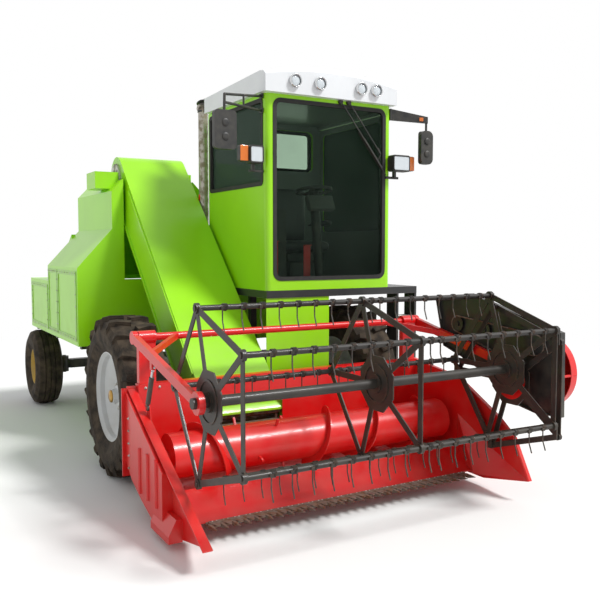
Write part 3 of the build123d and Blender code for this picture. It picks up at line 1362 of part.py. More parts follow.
save("auger", auger())
save("reel", *reel())
save("reel_shaft", reel_shaft())
save("reel_sheave", reel_sheave())
for side, x in (("right", LIFT_XS[0]), ("left", LIFT_XS[1])):
    save(f"lift_barrel_{side}",
         barrel(x, LIFT_BASE, LIFT_EYE, LIFT_BARREL_R, LIFT_ROD_R, LIFT_BARREL_LEN, LIFT_PIN_R))
    save(f"lift_rod_{side}", piston_rod(x, LIFT_BASE, LIFT_EYE, LIFT_ROD_R, LIFT_PIN_R))
save("reel_barrel",
     barrel(-ARM_X, REEL_CYL_BASE, REEL_CYL_EYE, REEL_CYL_BARREL_R, REEL_CYL_ROD_R,
            REEL_CYL_BARREL_LEN, REEL_PIN_R))
save("reel_rod", piston_rod(-ARM_X, REEL_CYL_BASE, REEL_CYL_EYE, REEL_CYL_ROD_R, REEL_PIN_R))
save("reel_offset_star", reel_offset_star())
save("reel_arms", reel_arms())
save("reel_drive", reel_drive())
save("reel_cover", reel_cover())
for k, (y, z) in enumerate(reel_vertices()):
    save(f"reel_bar_{k + 1}", Pos(0, y, z) * reel_bar())

# Places in metres, for whoever poses the machine
PLACES = {
    "drive_wheel_left": (DRIVE_TRACK / 2, 0, DRIVE_R),
    "drive_wheel_right": (-DRIVE_TRACK / 2, 0, DRIVE_R),
    "steer_wheel_left": (STEER_TRACK / 2, WHEELBASE, STEER_R),
    "steer_wheel_right": (-STEER_TRACK / 2, WHEELBASE, STEER_R),
    "kingpin_left": (KINGPIN_X, WHEELBASE, STEER_R),
    "kingpin_right": (-KINGPIN_X, WHEELBASE, STEER_R),
    "head_shaft": (0, HEAD_Y, HEAD_Z),
    "reel_pivot": (0, TOP_TUBE_Y, TOP_TUBE_Z),
    "reel_axis": (0, REEL_Y, REEL_Z),
    "offset_star": (0, REEL_Y, REEL_Z - ECCENTRIC_DROP),
    "auger_axis": (0, AUGER_Y, AUGER_Z),
    "cab_door_hinge": (DOOR_PIN_X, DOOR_PIN_Y, CAB_Z0 + 700),
    "tail_door_hinge": (0, HINGE_Y, HINGE_Z),
    "hitch": (0, RAIL_Y1 + 85, 715),
    "lift_base": (0, *LIFT_BASE),
    "lift_eye": (0, *LIFT_EYE),
    "reel_cyl_base": (0, *REEL_CYL_BASE),
    "reel_cyl_eye": (0, *REEL_CYL_EYE),
}
for k, (y, z) in enumerate(reel_vertices()):
    PLACES[f"reel_bar_{k + 1}"] = (0, y, z)
for name, (x, y, z) in PLACES.items():
    print("PLACE", name, round((x - ZERO_X) / 1000, 5), round((y - ZERO_Y) / 1000, 5), round(z / 1000, 5))
print("ZERO", ZERO_X, ZERO_Y)
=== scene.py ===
"""Looks of the forage harvester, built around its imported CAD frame."""

import math

import bmesh
import bpy
from mathutils import Euler, Matrix, Vector
from mathutils.geometry import convex_hull_2d


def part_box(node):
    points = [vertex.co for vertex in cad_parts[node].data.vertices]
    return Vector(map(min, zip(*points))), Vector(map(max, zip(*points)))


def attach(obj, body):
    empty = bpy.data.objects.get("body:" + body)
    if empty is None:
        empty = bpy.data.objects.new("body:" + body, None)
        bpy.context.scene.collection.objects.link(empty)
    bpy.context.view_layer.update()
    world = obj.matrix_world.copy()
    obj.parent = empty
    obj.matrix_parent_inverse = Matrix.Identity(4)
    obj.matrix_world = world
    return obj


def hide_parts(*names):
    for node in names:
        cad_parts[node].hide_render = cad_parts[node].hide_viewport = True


bl_info = {
    "name": "Forage harvester",
    "version": (1, 0, 0),
    "blender": (4, 5, 0),
    "location": "3D View > Sidebar > Harvester",
    "description": "Dresses the packed frame of a self-propelled forage harvester",
    "category": "Object",
}

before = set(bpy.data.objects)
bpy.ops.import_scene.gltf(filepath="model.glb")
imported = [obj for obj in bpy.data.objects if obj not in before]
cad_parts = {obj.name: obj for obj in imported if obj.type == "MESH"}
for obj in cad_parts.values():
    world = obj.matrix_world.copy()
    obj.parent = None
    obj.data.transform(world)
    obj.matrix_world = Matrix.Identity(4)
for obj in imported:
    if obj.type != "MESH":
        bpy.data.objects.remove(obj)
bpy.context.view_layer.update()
MM = 0.001


def axle_point():
    """Ground point under the middle of the front axle, which every place below is measured from."""
    left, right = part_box("drive_tyre_left"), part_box("drive_tyre_right")
    x = (left[0][0] + left[1][0] + right[0][0] + right[1][0]) / 4
    y = (left[0][1] + left[1][1]) / 2
    return Vector((x, y, 0))


ORIGIN = axle_point()


def at(x, y, z):
    """Place in the frame of a point given in millimetres from the front axle's ground point."""
    return ORIGIN + Vector((x, y, z)) * MM


# Sizes in millimetres

CAB_RIGHT, CAB_LEFT = -30, 1180
CAB_FRONT, CAB_REAR = -480, 700
CAB_FLOOR, CAB_TOP = 1450, 3005
PILLAR = 60
DRIVE_X, DRIVE_R = 1040, 632.5
STEER_X, STEER_Y, STEER_R = 1040, 3200, 422.5
REEL_Y, REEL_Z, REEL_R = -1930, 935, 540
PANE_TOP = 2973
BAR_ANGLES = [math.radians(216 - 72 * k) for k in range(5)]
BAR_Y_Z = [(REEL_Y + REEL_R * math.cos(a), REEL_Z + REEL_R * math.sin(a)) for a in BAR_ANGLES]
TINE_PITCH, TINE_COUNT = 125, 17
GUARD_PITCH, GUARD_COUNT = 76.2, 28
# Sprockets of the reel's drive as (y, z, radius)
SPROCKETS = ((-1250, 1190, 60), (-1550, 1170, 55), (-1690, 1060, 50), (-2060, 1110, 70))
WORK_LAMP_XS = (CAB_RIGHT + 218, CAB_RIGHT + 449, CAB_LEFT - 363, CAB_LEFT - 210)
LADDER_X = (1262, 1447)
BODY_RIGHT, BODY_LEFT, BODY_REAR, BODY_FLOOR = -1150, 1150, 3230, 900
RAIL_END = 3450


# Materials


def linear(hex_colour):
    """sRGB hex to the linear colour that shaders take."""
    out = []
    for k in (1, 3, 5):
        c = int(hex_colour[k:k + 2], 16) / 255
        out.append(c / 12.92 if c <= 0.04045 else ((c + 0.055) / 1.055) ** 2.4)
    return (*out, 1)


def add(tree, kind, links=(), **settings):
    """Adds a node. Settings are node properties or input names, links are (input, output socket)."""
    node = tree.nodes.new(kind)
    for key, value in settings.items():
        if hasattr(node, key):
            setattr(node, key, value)
        else:
            node.inputs[key.replace("_", " ")].default_value = value
    for socket, source in links:
        tree.links.new(source, node.inputs[socket])
    return node


def new_material(name, **settings):
    """Material with its tree, its coordinates in millimetres and its surface node with these settings."""
    material = bpy.data.materials.new(name)
    material.use_nodes = True
    tree = material.node_tree
    tree.nodes.clear()
    place = add(tree, "ShaderNodeTexCoord")
    scaled = add(tree, "ShaderNodeVectorMath", [(0, place.outputs["Object"])], operation="SCALE", Scale=1000)
    surface = add(tree, "ShaderNodeBsdfPrincipled", **settings)
    add(tree, "ShaderNodeOutputMaterial", [("Surface", surface.outputs["BSDF"])])
    return material, tree, scaled.outputs["Vector"], surface


def feed(tree, surface, **sources):
    """Links each source to the surface's input of that name."""
    for key, source in sources.items():
        tree.links.new(source, surface.inputs[key.replace("_", " ")])


def ramp(tree, value, low=0.0, high=1.0, first=0.0, last=1.0):
    """Value from low to high, brought to first to last and held there beyond them."""
    return add(tree, "ShaderNodeMapRange", [("Value", value)], From_Min=low, From_Max=high, To_Min=first,
               To_Max=last).outputs["Result"]


def show(tree, first, second, amount):
    """Gives the material's output a mix of two shaders."""
    join = add(tree, "ShaderNodeMixShader", [("Fac", amount), (1, first), (2, second)])
    out = next(n for n in tree.nodes if n.type.startswith("OUTPUT"))
    tree.links.new(join.outputs["Shader"], out.inputs["Surface"])


def speckle(tree, place, size, low, high, detail=4.0):
    """Noise of spots about size millimetres across, from 0 below low to 1 above high."""
    noise = add(tree, "ShaderNodeTexNoise", [("Vector", place)], Scale=1 / size, Detail=detail)
    return ramp(tree, noise.outputs["Fac"], low, high)


def times(tree, a, b):
    """Product of two values, each a socket or a number."""
    node = tree.nodes.new("ShaderNodeMath")
    node.operation = "MULTIPLY"
    for k, value in enumerate((a, b)):
        if isinstance(value, (int, float)):
            node.inputs[k].default_value = value
        else:
            tree.links.new(value, node.inputs[k])
    return node.outputs["Value"]


def mixed(tree, amount, first, second):
    """Colour between two colours, each a socket or an sRGB hex."""
    node = add(tree, "ShaderNodeMix", data_type="RGBA")
    tree.links.new(amount, node.inputs["Factor"])
    for socket, colour in ((6, first), (7, second)):
        if isinstance(colour, str):
            node.inputs[socket].default_value = linear(colour)
        else:
            tree.links.new(colour, node.inputs[socket])
    return node.outputs[2]


def edges(tree, radius):
    """1 on corners and edges within radius millimetres, 0 on open faces."""
    soft = add(tree, "ShaderNodeBevel", samples=4, Radius=radius * MM)
    true = add(tree, "ShaderNodeNewGeometry")
    dot = add(tree, "ShaderNodeVectorMath", [(0, soft.outputs["Normal"]), (1, true.outputs["Normal"])],
              operation="DOT_PRODUCT")
    return ramp(tree, dot.outputs["Value"], 0.995, 0.9)


def dust_mask(tree, place, top):
    """Road dust in patches: most near the ground, fading out at top millimetres."""
    split = add(tree, "ShaderNodeSeparateXYZ", [("Vector", place)])
    low = ramp(tree, split.outputs["Z"], 0, top, 1, 0)
    return times(tree, low, speckle(tree, place, 130, 0.35, 0.75, 6))


def bump(tree, height, distance, strength, normal=None):
    links = [("Height", height)] + ([("Normal", normal)] if normal else [])
    return add(tree, "ShaderNodeBump", links, Distance=distance * MM, Strength=strength).outputs["Normal"]


def inside(tree, place, low, high):
    """1 within the box between two corners given as at() takes them, 0 outside it."""
    centre, half = (at(*low) + at(*high)) * 500, (at(*high) - at(*low)) * 500
    offset = add(tree, "ShaderNodeVectorMath", [(0, place)], operation="SUBTRACT")
    offset.inputs[1].default_value = centre
    reach = add(tree, "ShaderNodeVectorMath", [(0, offset.outputs["Vector"])], operation="ABSOLUTE")
    split = add(tree, "ShaderNodeSeparateXYZ", [("Vector", reach.outputs["Vector"])])
    out = 1.0
    for axis, limit in zip("XYZ", half):
        less = add(tree, "ShaderNodeMath", [(0, split.outputs[axis])], operation="LESS_THAN")
        less.inputs[1].default_value = limit
        out = times(tree, out, less.outputs["Value"])
    return out


def paint(name, colour, chipped="#6b5140", dust=0.35, dust_top=1500, gloss=0.32, chips=0.5, orange_peel=0.08,
          lining=None):
    """Sprayed enamel on sheet steel: a slight orange peel, scuffed edges and dust that thins upwards."""
    material, tree, place, surface = new_material(name, Coat_Weight=0.12)
    shade = mixed(tree, speckle(tree, place, 420, 0.3, 0.7), colour, darker(colour, 0.96))
    if lining:
        shade = mixed(tree, inside(tree, place, *lining[:2]), shade, lining[2])
    worn = times(tree, times(tree, edges(tree, 5), speckle(tree, place, 28, 0.45, 0.62)), chips)
    shade = mixed(tree, worn, shade, chipped)
    dirt = times(tree, dust_mask(tree, place, dust_top), dust)
    shade = mixed(tree, dirt, shade, "#9a8f78")
    peel = speckle(tree, place, 6, 0.2, 0.8, 2)
    feed(tree, surface, Base_Color=shade, Roughness=ramp(tree, dirt, 0, 1, gloss, 1),
         Normal=bump(tree, peel, 0.4, orange_peel))
    return material


def darker(colour, factor):
    """sRGB hex scaled towards black."""
    return "#" + "".join(f"{int(int(colour[k:k + 2], 16) * factor):02x}" for k in (1, 3, 5))


def worn_steel(name, colour, rust="#6e4a33", amount=0.6, rough=0.45):
    """Bare rolled steel that has rusted: brown bloom over dull metal."""
    material, tree, place, surface = new_material(name)
    bloom = speckle(tree, place, 45, 0.5 - amount * 0.3, 0.62, 8)
    grain = speckle(tree, place, 3, 0.3, 0.7, 6)
    feed(tree, surface, Base_Color=mixed(tree, bloom, colour, rust), Metallic=ramp(tree, bloom, 0, 1, 0.9, 0.05),
         Roughness=ramp(tree, bloom, 0, 1, rough, 0.9), Normal=bump(tree, grain, 0.5, 0.25))
    return material


def tyre_rubber(name, colour, dust_colour, axle_y, axle_z, rings):
    """Vulcanised rubber: moulded rings on the sidewall, and field dust in patches."""
    material, tree, place, surface = new_material(name, Roughness=0.86, Specular_IOR_Level=0.25)
    around = at(0, axle_y, axle_z) * 1000
    local = add(tree, "ShaderNodeVectorMath", [(0, place)], operation="SUBTRACT")
    local.inputs[1].default_value = (0, around.y, around.z)
    split = add(tree, "ShaderNodeSeparateXYZ", [("Vector", local.outputs["Vector"])])
    flat = add(tree, "ShaderNodeCombineXYZ", [("X", split.outputs["Y"]), ("Y", split.outputs["Z"])])
    radius = add(tree, "ShaderNodeVectorMath", [(0, flat.outputs["Vector"])], operation="LENGTH")
    phase = times(tree, radius.outputs["Value"], math.tau / rings)
    wave = add(tree, "ShaderNodeMath", [(0, phase)], operation="SINE")
    dirt = speckle(tree, place, 90, 0.38, 0.66, 8)
    fine = speckle(tree, place, 7, 0.3, 0.8, 6)
    shade = mixed(tree, times(tree, dirt, 0.75), colour, dust_colour)
    rib = bump(tree, wave.outputs["Value"], 2.0, 0.25)
    feed(tree, surface, Base_Color=mixed(tree, times(tree, fine, 0.35), shade, dust_colour),
         Normal=bump(tree, fine, 0.8, 0.3, rib))
    return material


def window_glass(name, tint, clear_colour):
    """Toughened cab glass: clear with a green tint, glossy at a slant, with a haze of dust."""
    material, tree, place, surface = new_material(name, Base_Color=linear(tint), Roughness=0.04)
    clear = add(tree, "ShaderNodeBsdfTransparent", Color=linear(clear_colour))
    facing = add(tree, "ShaderNodeLayerWeight", Blend=0.25)
    film = times(tree, speckle(tree, place, 240, 0.3, 0.9, 5), 0.06)
    share = add(tree, "ShaderNodeMath", [(0, facing.outputs["Fresnel"]), (1, film)], operation="ADD", use_clamp=True)
    show(tree, clear.outputs["BSDF"], surface.outputs["BSDF"], share.outputs["Value"])
    return material


def moulded(name, colour, rough=0.5, grain=1.2, specks=0.15):
    """Injection-moulded plastic: a fine leather-like grain that scatters the light."""
    material, tree, place, surface = new_material(name, Roughness=rough)
    shade = mixed(tree, times(tree, speckle(tree, place, 60, 0.3, 0.8), specks), colour, "#8d8573")
    cells = add(tree, "ShaderNodeTexVoronoi", [("Vector", place)], Scale=1 / grain)
    feed(tree, surface, Base_Color=shade, Normal=bump(tree, cells.outputs["Distance"], 0.25, 0.3))
    return material


def plated(name, colour, rough):
    """Chromed or bright metal, faintly hazed."""
    material, tree, place, surface = new_material(name, Metallic=1, Roughness=rough)
    haze = speckle(tree, place, 14, 0.3, 0.8)
    feed(tree, surface, Base_Color=mixed(tree, times(tree, haze, 0.35), colour, darker(colour, 0.75)))
    return material


def lens(name, colour, rib):
    """Pressed lens, ribbed on its inside: the ribs break up what lies behind it."""
    material, tree, place, surface = new_material(name, Base_Color=linear(colour), Roughness=0.12, Coat_Weight=0.6)
    wave = add(tree, "ShaderNodeTexWave", [("Vector", place)], Scale=0.5 / rib, bands_direction="X")
    cross = add(tree, "ShaderNodeTexWave", [("Vector", place)], Scale=0.5 / rib, bands_direction="Z")
    first = bump(tree, wave.outputs["Fac"], 1.5, 0.5)
    feed(tree, surface, Normal=bump(tree, cross.outputs["Fac"], 1.0, 0.3, first))
    return material


def vinyl(name, colour):
    """Calendered vinyl seat cover: soft sheen and an embossed grain about 2 mm across."""
    material, tree, place, surface = new_material(name, Roughness=0.42, Sheen_Weight=0.15)
    shade = mixed(tree, speckle(tree, place, 80, 0.3, 0.7), colour, darker(colour, 0.8))
    cells = add(tree, "ShaderNodeTexVoronoi", [("Vector", place)], Scale=1 / 2.4, feature="DISTANCE_TO_EDGE")
    feed(tree, surface, Base_Color=shade, Normal=bump(tree, cells.outputs["Distance"], 0.5, 0.35))
    return material


def studio_floor(name, colour):
    """Matt seamless paper that turns to plain white away from the machine."""
    material, tree, place, surface = new_material(name, Base_Color=linear(colour), Roughness=0.95)
    reach = add(tree, "ShaderNodeVectorMath", [(0, place)], operation="LENGTH")
    white = add(tree, "ShaderNodeEmission", Color=linear("#ffffff"), Strength=1.0)
    show(tree, surface.outputs["BSDF"], white.outputs["Emission"], ramp(tree, reach.outputs["Value"], 3500, 9000))
    return material


# Box of the cab's grey lining, and its colour
CAB_LINING = (
    (CAB_RIGHT + 57, CAB_FRONT + 57, CAB_FLOOR + 30),
    (CAB_LEFT - 30, CAB_REAR - 57, CAB_TOP - 20),
    "#7d827f",
)

PAINTS = {
    "green": lambda: paint("green_enamel", "#9adf0c", dust=0.3),
    "cab_green": lambda: paint("cab_green_enamel", "#9adf0c", dust=0.2, lining=CAB_LINING),
    # Painted shade: a darker copy of the green enamel, with a little more dust, for the side panels
    "dark_green": lambda: paint("green_enamel_painted_shade", "#86c60e", dust=0.4),
    "red": lambda: paint("red_enamel", "#da0a0d", dust=0.14, chips=0.6),
    "black": lambda: paint("black_enamel", "#202123", dust=0.45, gloss=0.4),
    "reel": lambda: paint("worn_black_enamel", "#1d1814", "#6a4a34", dust=0.16, gloss=0.55, chips=0.9),
    "roof": lambda: paint("pearl_white_enamel", "#e4e6e8", "#8d8a80", dust=0.0, gloss=0.3, chips=0.15),
    "silver": lambda: paint("silver_rim_enamel", "#cdcfcf", "#7a5c44", dust=0.4, gloss=0.35),
    "yellow": lambda: paint("yellow_rim_enamel", "#c9a11c", "#6e4a33", dust=0.5, gloss=0.4),
    "steel": lambda: worn_steel("rusted_knife_steel", "#8a847c"),
    "bright_steel": lambda: worn_steel("galvanised_steel", "#b9b8b2", "#8c8474", 0.2, 0.35),
    "cast": lambda: worn_steel("cast_iron", "#54565a", "#4a3c31", 0.4, 0.6),
    "pipe": lambda: worn_steel("aluminised_exhaust_pipe", "#a8a39a", "#8f8272", 0.15, 0.45),
    "rubber": lambda: moulded("window_rubber", "#141414", 0.7, 2.0, 0.05),
    "plastic": lambda: moulded("black_abs", "#1b1c1d"),
    "grey_plastic": lambda: moulded("grey_abs", "#5b5c5a"),
    "red_plastic": lambda: moulded("red_abs_knobs", "#c41a16", 0.35, 1.0, 0.0),
    "chrome": lambda: plated("chromed_reflector", "#d8d9da", 0.08),
    "rod": lambda: plated("chromed_piston_rod", "#c9cbce", 0.14),
    "brass": lambda: plated("brass_plated_hub", "#b08b4c", 0.32),
    "clear_lens": lambda: lens("clear_pressed_lens", "#cfd6da", 9),
    "amber_lens": lambda: lens("amber_lens", "#e0720f", 6),
    "red_lens": lambda: lens("red_lens", "#b3130f", 6),
    "glass": lambda: window_glass("toughened_glass", "#5c6b62", "#e3ece4"),
    "mirror": lambda: plated("mirror_glass", "#dfe3e4", 0.02),
    "vinyl": lambda: vinyl("grey_vinyl", "#3b3d40"),
    "drive_tyre": lambda: tyre_rubber("drive_tyre_rubber", "#1b1815", "#574b3d", 0, DRIVE_R, 16),
    "steer_tyre": lambda: tyre_rubber("steer_tyre_rubber", "#1b1815", "#574b3d", STEER_Y, STEER_R, 12),
    "paper": lambda: studio_floor("seamless_paper", "#f1f1ef"),
}

NODE_PAINTS = {
    "black": ["chassis_frame", "rear_hitch", "cab_deck", "handrail", "ladder", "rear_axle", "front_axle",
              "knuckle_left", "knuckle_right", "reel_drive", "reel_barrel", "lift_barrel_left",
              "lift_barrel_right"],
    "green": ["crop_bin", "conveyor_trunk", "front_panel", "engine_hood", "tail_door"],
    "cab_green": ["cab_frame", "cab_door"],
    # The side panels take the darker green copy, a painted shade
    "dark_green": ["side_panels"],
    "red": ["header_frame", "dividers", "auger", "reel_arms", "reel_cover"],
    "reel": ["reel", "reel_shaft", "reel_sheave", "reel_offset_star"] + [f"reel_bar_{k}" for k in range(1, 6)],
    "roof": ["cab_roof"],
    "silver": ["drive_rim_left", "drive_rim_right"],
    "yellow": ["steer_rim_left", "steer_rim_right"],
    "steel": ["cutter_guards", "knife", "conveyor_chain"],
    "bright_steel": ["conveyor_head"],
    "cast": ["engine"],
    "pipe": ["exhaust"],
    "plastic": ["mirrors", "cab_controls", "headlamps"],
    "chrome": ["lamps"],
    "rod": ["reel_rod", "lift_rod_left", "lift_rod_right"],
    "glass": ["cab_glass", "door_glass"],
    "vinyl": ["seat"],
    "drive_tyre": ["drive_tyre_left", "drive_tyre_right"],
    "steer_tyre": ["steer_tyre_left", "steer_tyre_right"],
}

MADE = {}


def material(key):
    """The named material, made the first time that it is asked for."""
    if key not in MADE:
        MADE[key] = PAINTS[key]()
    return MADE[key]


# Mesh helpers


def piece(name, mesh, key, body, shape_slot, *replaced):
    """Links a mesh as a finished piece with its material and its body; its slot is not used."""
    obj = bpy.data.objects.new(name, mesh)
    bpy.context.scene.collection.objects.link(obj)
    mesh.materials.clear()
    mesh.materials.append(material(key))
    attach(obj, body)
    if replaced:
        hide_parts(*replaced)
    return obj


def finished(bm, name, key, body, shape_slot, *replaced, smooth=False):
    """Turns a mesh under construction into a piece."""
    return piece(name, mesh_of(bm, name, smooth), key, body, shape_slot, *replaced)


def mesh_of(bm, name, smooth=True):
    """Closes a mesh under construction: doubles merged, faces outwards."""
    bmesh.ops.remove_doubles(bm, verts=bm.verts, dist=1e-6)
    bmesh.ops.recalc_face_normals(bm, faces=bm.faces)
    mesh = bpy.data.meshes.new(name)
    bm.to_mesh(mesh)
    bm.free()
    for p in mesh.polygons:
        p.use_smooth = smooth
    return mesh


def tube(bm, points, radius, sides=10, closed=False):
    """Round tube through the points, with a ring at each."""
    points = [Vector(p) for p in points]
    count = len(points)
    rings = []
    normal = None
    for k, p in enumerate(points):
        before = points[k - 1] if k or closed else p
        after = points[(k + 1) % count] if k < count - 1 or closed else p
        along = (after - before).normalized()
        if normal is None:
            normal = along.orthogonal().normalized()
        normal = (normal - along * normal.dot(along)).normalized()
        other = along.cross(normal)
        ring = []
        for s in range(sides):
            a = math.tau * s / sides
            ring.append(bm.verts.new(p + (normal * math.cos(a) + other * math.sin(a)) * radius))
        rings.append(ring)
    spans = count if closed else count - 1
    for k in range(spans):
        a, b = rings[k], rings[(k + 1) % count]
        for s in range(sides):
            t = (s + 1) % sides
            bm.faces.new((a[s], a[t], b[t], b[s]))
    if not closed:
        bm.faces.new(list(reversed(rings[0])))
        bm.faces.new(rings[-1])


def box(bm, low, high, bevel=0.0, segments=2):
    """Box between two corners, its edges rounded by bevel metres."""
    low, high = Vector(low), Vector(high)
    made = bmesh.ops.create_cube(bm, size=1)["verts"]
    size = high - low
    for v in made:
        v.co = low + Vector(((v.co.x + 0.5) * size.x, (v.co.y + 0.5) * size.y, (v.co.z + 0.5) * size.z))
    if bevel:
        around = list({e for v in made for e in v.link_edges})
        bmesh.ops.bevel(bm, geom=around, offset=bevel, segments=segments, affect="EDGES", profile=0.5)


def turned(bm, profile, centre, axis, sides=32):
    """Profile of (along, radius) points in metres, turned about axis through centre."""
    axis = Vector(axis).normalized()
    side = axis.orthogonal().normalized()
    other = axis.cross(side)
    rings = []
    for along, radius in profile:
        base = Vector(centre) + axis * along
        if radius < 1e-6:
            rings.append([bm.verts.new(base)])
            continue
        rings.append([bm.verts.new(base + (side * math.cos(math.tau * s / sides)
                                           + other * math.sin(math.tau * s / sides)) * radius)
                      for s in range(sides)])
    for a, b in zip(rings, rings[1:]):
        for s in range(sides):
            t = (s + 1) % sides
            quad = [a[s % len(a)], a[t % len(a)], b[t % len(b)], b[s % len(b)]]
            unique = list(dict.fromkeys(quad))
            if len(unique) > 2:
                bm.faces.new(unique)


def rounded_loop(low, high, radius, steps=6):
    """Closed loop of (u, v) points round a rounded rectangle."""
    out = []
    for cu, cv, start in ((high[0] - radius, high[1] - radius, 0), (low[0] + radius, high[1] - radius, 90),
                          (low[0] + radius, low[1] + radius, 180), (high[0] - radius, low[1] + radius, 270)):
        for k in range(steps + 1):
            a = math.radians(start + 90 * k / steps)
            out.append((cu + radius * math.cos(a), cv + radius * math.sin(a)))
    return out


def ribbon(bm, outer, inner, face, back):
    """Flat frame between two closed loops, from the face to the back, each a function of (u, v)."""
    rings = [[bm.verts.new(place(u, v)) for u, v in loop]
             for loop, place in ((outer, face), (inner, face), (inner, back), (outer, back))]
    count = len(outer)
    for a, b in zip(rings, rings[1:] + rings[:1]):
        for k in range(count):
            n = (k + 1) % count
            bm.faces.new((a[k], a[n], b[n], b[k]))


def slab(bm, centre, size, turn=(0, 0, 0), bevel=0.0):
    """Plate of a size in millimetres round a centre, turned by an Euler angle."""
    place = Matrix.LocRotScale(centre, Euler(turn), Vector(size) * MM)
    made = bmesh.ops.create_cube(bm, size=1, matrix=place)["verts"]
    if bevel:
        around = list({e for v in made for e in v.link_edges})
        bmesh.ops.bevel(bm, geom=around, offset=bevel, segments=2, affect="EDGES", profile=0.5)


def between(p, q, count):
    """Points from p to q, both ends included."""
    return [p.lerp(q, k / (count - 1)) for k in range(count)]


def repeated(name, part, places, key, body, shape_slot, spread=0.02):
    """One copy of part on each (place, turn), set out by a node tree and made plain."""
    tree = bpy.data.node_groups.new(name, "GeometryNodeTree")
    face = tree.interface
    face.new_socket("Places", in_out="INPUT", socket_type="NodeSocketGeometry")
    given = {
        face.new_socket("Part", in_out="INPUT", socket_type="NodeSocketObject"): None,
        face.new_socket("Finish", in_out="INPUT", socket_type="NodeSocketMaterial"): material(key),
        face.new_socket("Spread", in_out="INPUT", socket_type="NodeSocketFloat"): spread,
    }
    face.new_socket("Geometry", in_out="OUTPUT", socket_type="NodeSocketGeometry")
    inputs = tree.nodes.new("NodeGroupInput").outputs
    info = add(tree, "GeometryNodeObjectInfo", [("Object", inputs["Part"])])
    turn = add(tree, "GeometryNodeInputNamedAttribute", data_type="FLOAT_VECTOR", Name="turn")
    chance = add(tree, "FunctionNodeRandomValue", data_type="FLOAT", Seed=7)
    chance.inputs[2].default_value = -1
    size = add(tree, "ShaderNodeMath", [(0, chance.outputs[1]), (1, inputs["Spread"])], operation="MULTIPLY_ADD")
    size.inputs[2].default_value = 1
    copies = add(tree, "GeometryNodeInstanceOnPoints", [
        ("Points", inputs["Places"]), ("Instance", info.outputs["Geometry"]),
        ("Rotation", next(o for o in turn.outputs if o.enabled)), ("Scale", size.outputs["Value"])])
    real = add(tree, "GeometryNodeRealizeInstances", [("Geometry", copies.outputs["Instances"])])
    coated = add(tree, "GeometryNodeSetMaterial", [("Geometry", real.outputs["Geometry"]),
                                                   ("Material", inputs["Finish"])])
    tree.links.new(coated.outputs["Geometry"], tree.nodes.new("NodeGroupOutput").inputs["Geometry"])
    mesh = bpy.data.meshes.new(name + "_places")
    mesh.from_pydata([p for p, _ in places], [], [])
    turns = [angle for _, angles in places for angle in angles]
    mesh.attributes.new("turn", "FLOAT_VECTOR", "POINT").data.foreach_set("vector", turns)
    holder = bpy.data.objects.new(name + "_holder", mesh)
    pattern = bpy.data.objects.new(name + "_part", mesh_of(part, name + "_part"))
    for obj in (holder, pattern):
        bpy.context.scene.collection.objects.link(obj)
    modifier = holder.modifiers.new("Nodes", "NODES")
    modifier.node_group = tree
    for socket, value in given.items():
        modifier[socket.identifier] = pattern if value is None else value
    bpy.context.view_layer.update()
    plain = bpy.data.meshes.new_from_object(holder.evaluated_get(bpy.context.evaluated_depsgraph_get()))
    for obj in (holder, pattern):
        bpy.data.objects.remove(obj)
    if len(plain.vertices) < len(places):
        raise RuntimeError(f"{name}: the node tree made no copies")
    return piece(name, plain, key, body, shape_slot)


def nut(size):
    """Hexagon nut on its washer with the stud through it, facing +Z."""
    bm = bmesh.new()
    washer = [(-0.001, 0), (-0.001, size * 0.62), (size * 0.08, size * 0.62), (size * 0.08, 0)]
    hexagon = [(0, 0), (0, size * 0.5), (size * 0.38, size * 0.5), (size * 0.45, size * 0.43), (size * 0.45, 0)]
    stud = [(0, 0), (0, size * 0.24), (size * 0.62, size * 0.24), (size * 0.68, size * 0.18), (size * 0.68, 0)]
    for profile, sides in ((washer, 18), (hexagon, 6), (stud, 12)):
        turned(bm, profile, (0, 0, 0), (0, 0, 1), sides)
    return bm


def rivet(radius):
    """Domed rivet head, facing +Z."""
    bm = bmesh.new()
    turned(bm, [(-0.001, 0), (-0.001, radius), (radius * 0.25, radius * 0.96), (radius * 0.55, radius * 0.72),
                (radius * 0.72, radius * 0.36), (radius * 0.76, 0)], (0, 0, 0), (0, 0, 1), 10)
    return bm


FACE_RIGHT, FACE_LEFT = (0, -math.pi / 2, 0), (0, math.pi / 2, 0)
FACE_FRONT, FACE_REAR = (math.pi / 2, 0, 0), (-math.pi / 2, 0, 0)
FACE_UP = (0, 0, 0)


# Properties


class CabLook(bpy.types.PropertyGroup):
    seal: bpy.props.FloatProperty(name="Seal", description="Width of the window rubber", default=0.03,
                                  unit="LENGTH")
    cushion: bpy.props.FloatProperty(name="Cushion", description="Height of the seat cushion",
                                     default=0.112, unit="LENGTH")


class WheelLook(bpy.types.PropertyGroup):
    nuts: bpy.props.IntProperty(name="Nuts", description="Wheel nuts on each drive hub", default=8)
    nut_size: bpy.props.FloatProperty(name="Nut size", description="Across the corners of a wheel nut",
                                      default=0.034, unit="LENGTH")


class ReelLook(bpy.types.PropertyGroup):
    coil_turns: bpy.props.FloatProperty(name="Coil turns", description="Turns of each tine spring", default=3.5)
    pitch: bpy.props.FloatProperty(name="Chain pitch", description="Pitch of the drive chain", default=0.01905,
                                   unit="LENGTH")


class StageLook(bpy.types.PropertyGroup):
    floor: bpy.props.FloatProperty(name="Floor", description="Side of the floor", default=60, unit="LENGTH")
    key_power: bpy.props.FloatProperty(name="Key", description="Strength of the sun-like key", default=3.0)


# Pieces


class HARVESTER_OT_materials(bpy.types.Operator):
    """Gives every CAD node its material"""
    bl_idname = "harvester.materials"
    bl_label = "Materials"

    def execute(self, context):
        for key, nodes in NODE_PAINTS.items():
            for node in nodes:
                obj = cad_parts[node]
                for slot in obj.material_slots:
                    slot.link = "OBJECT"
                    slot.material = material(key)
        return {"FINISHED"}


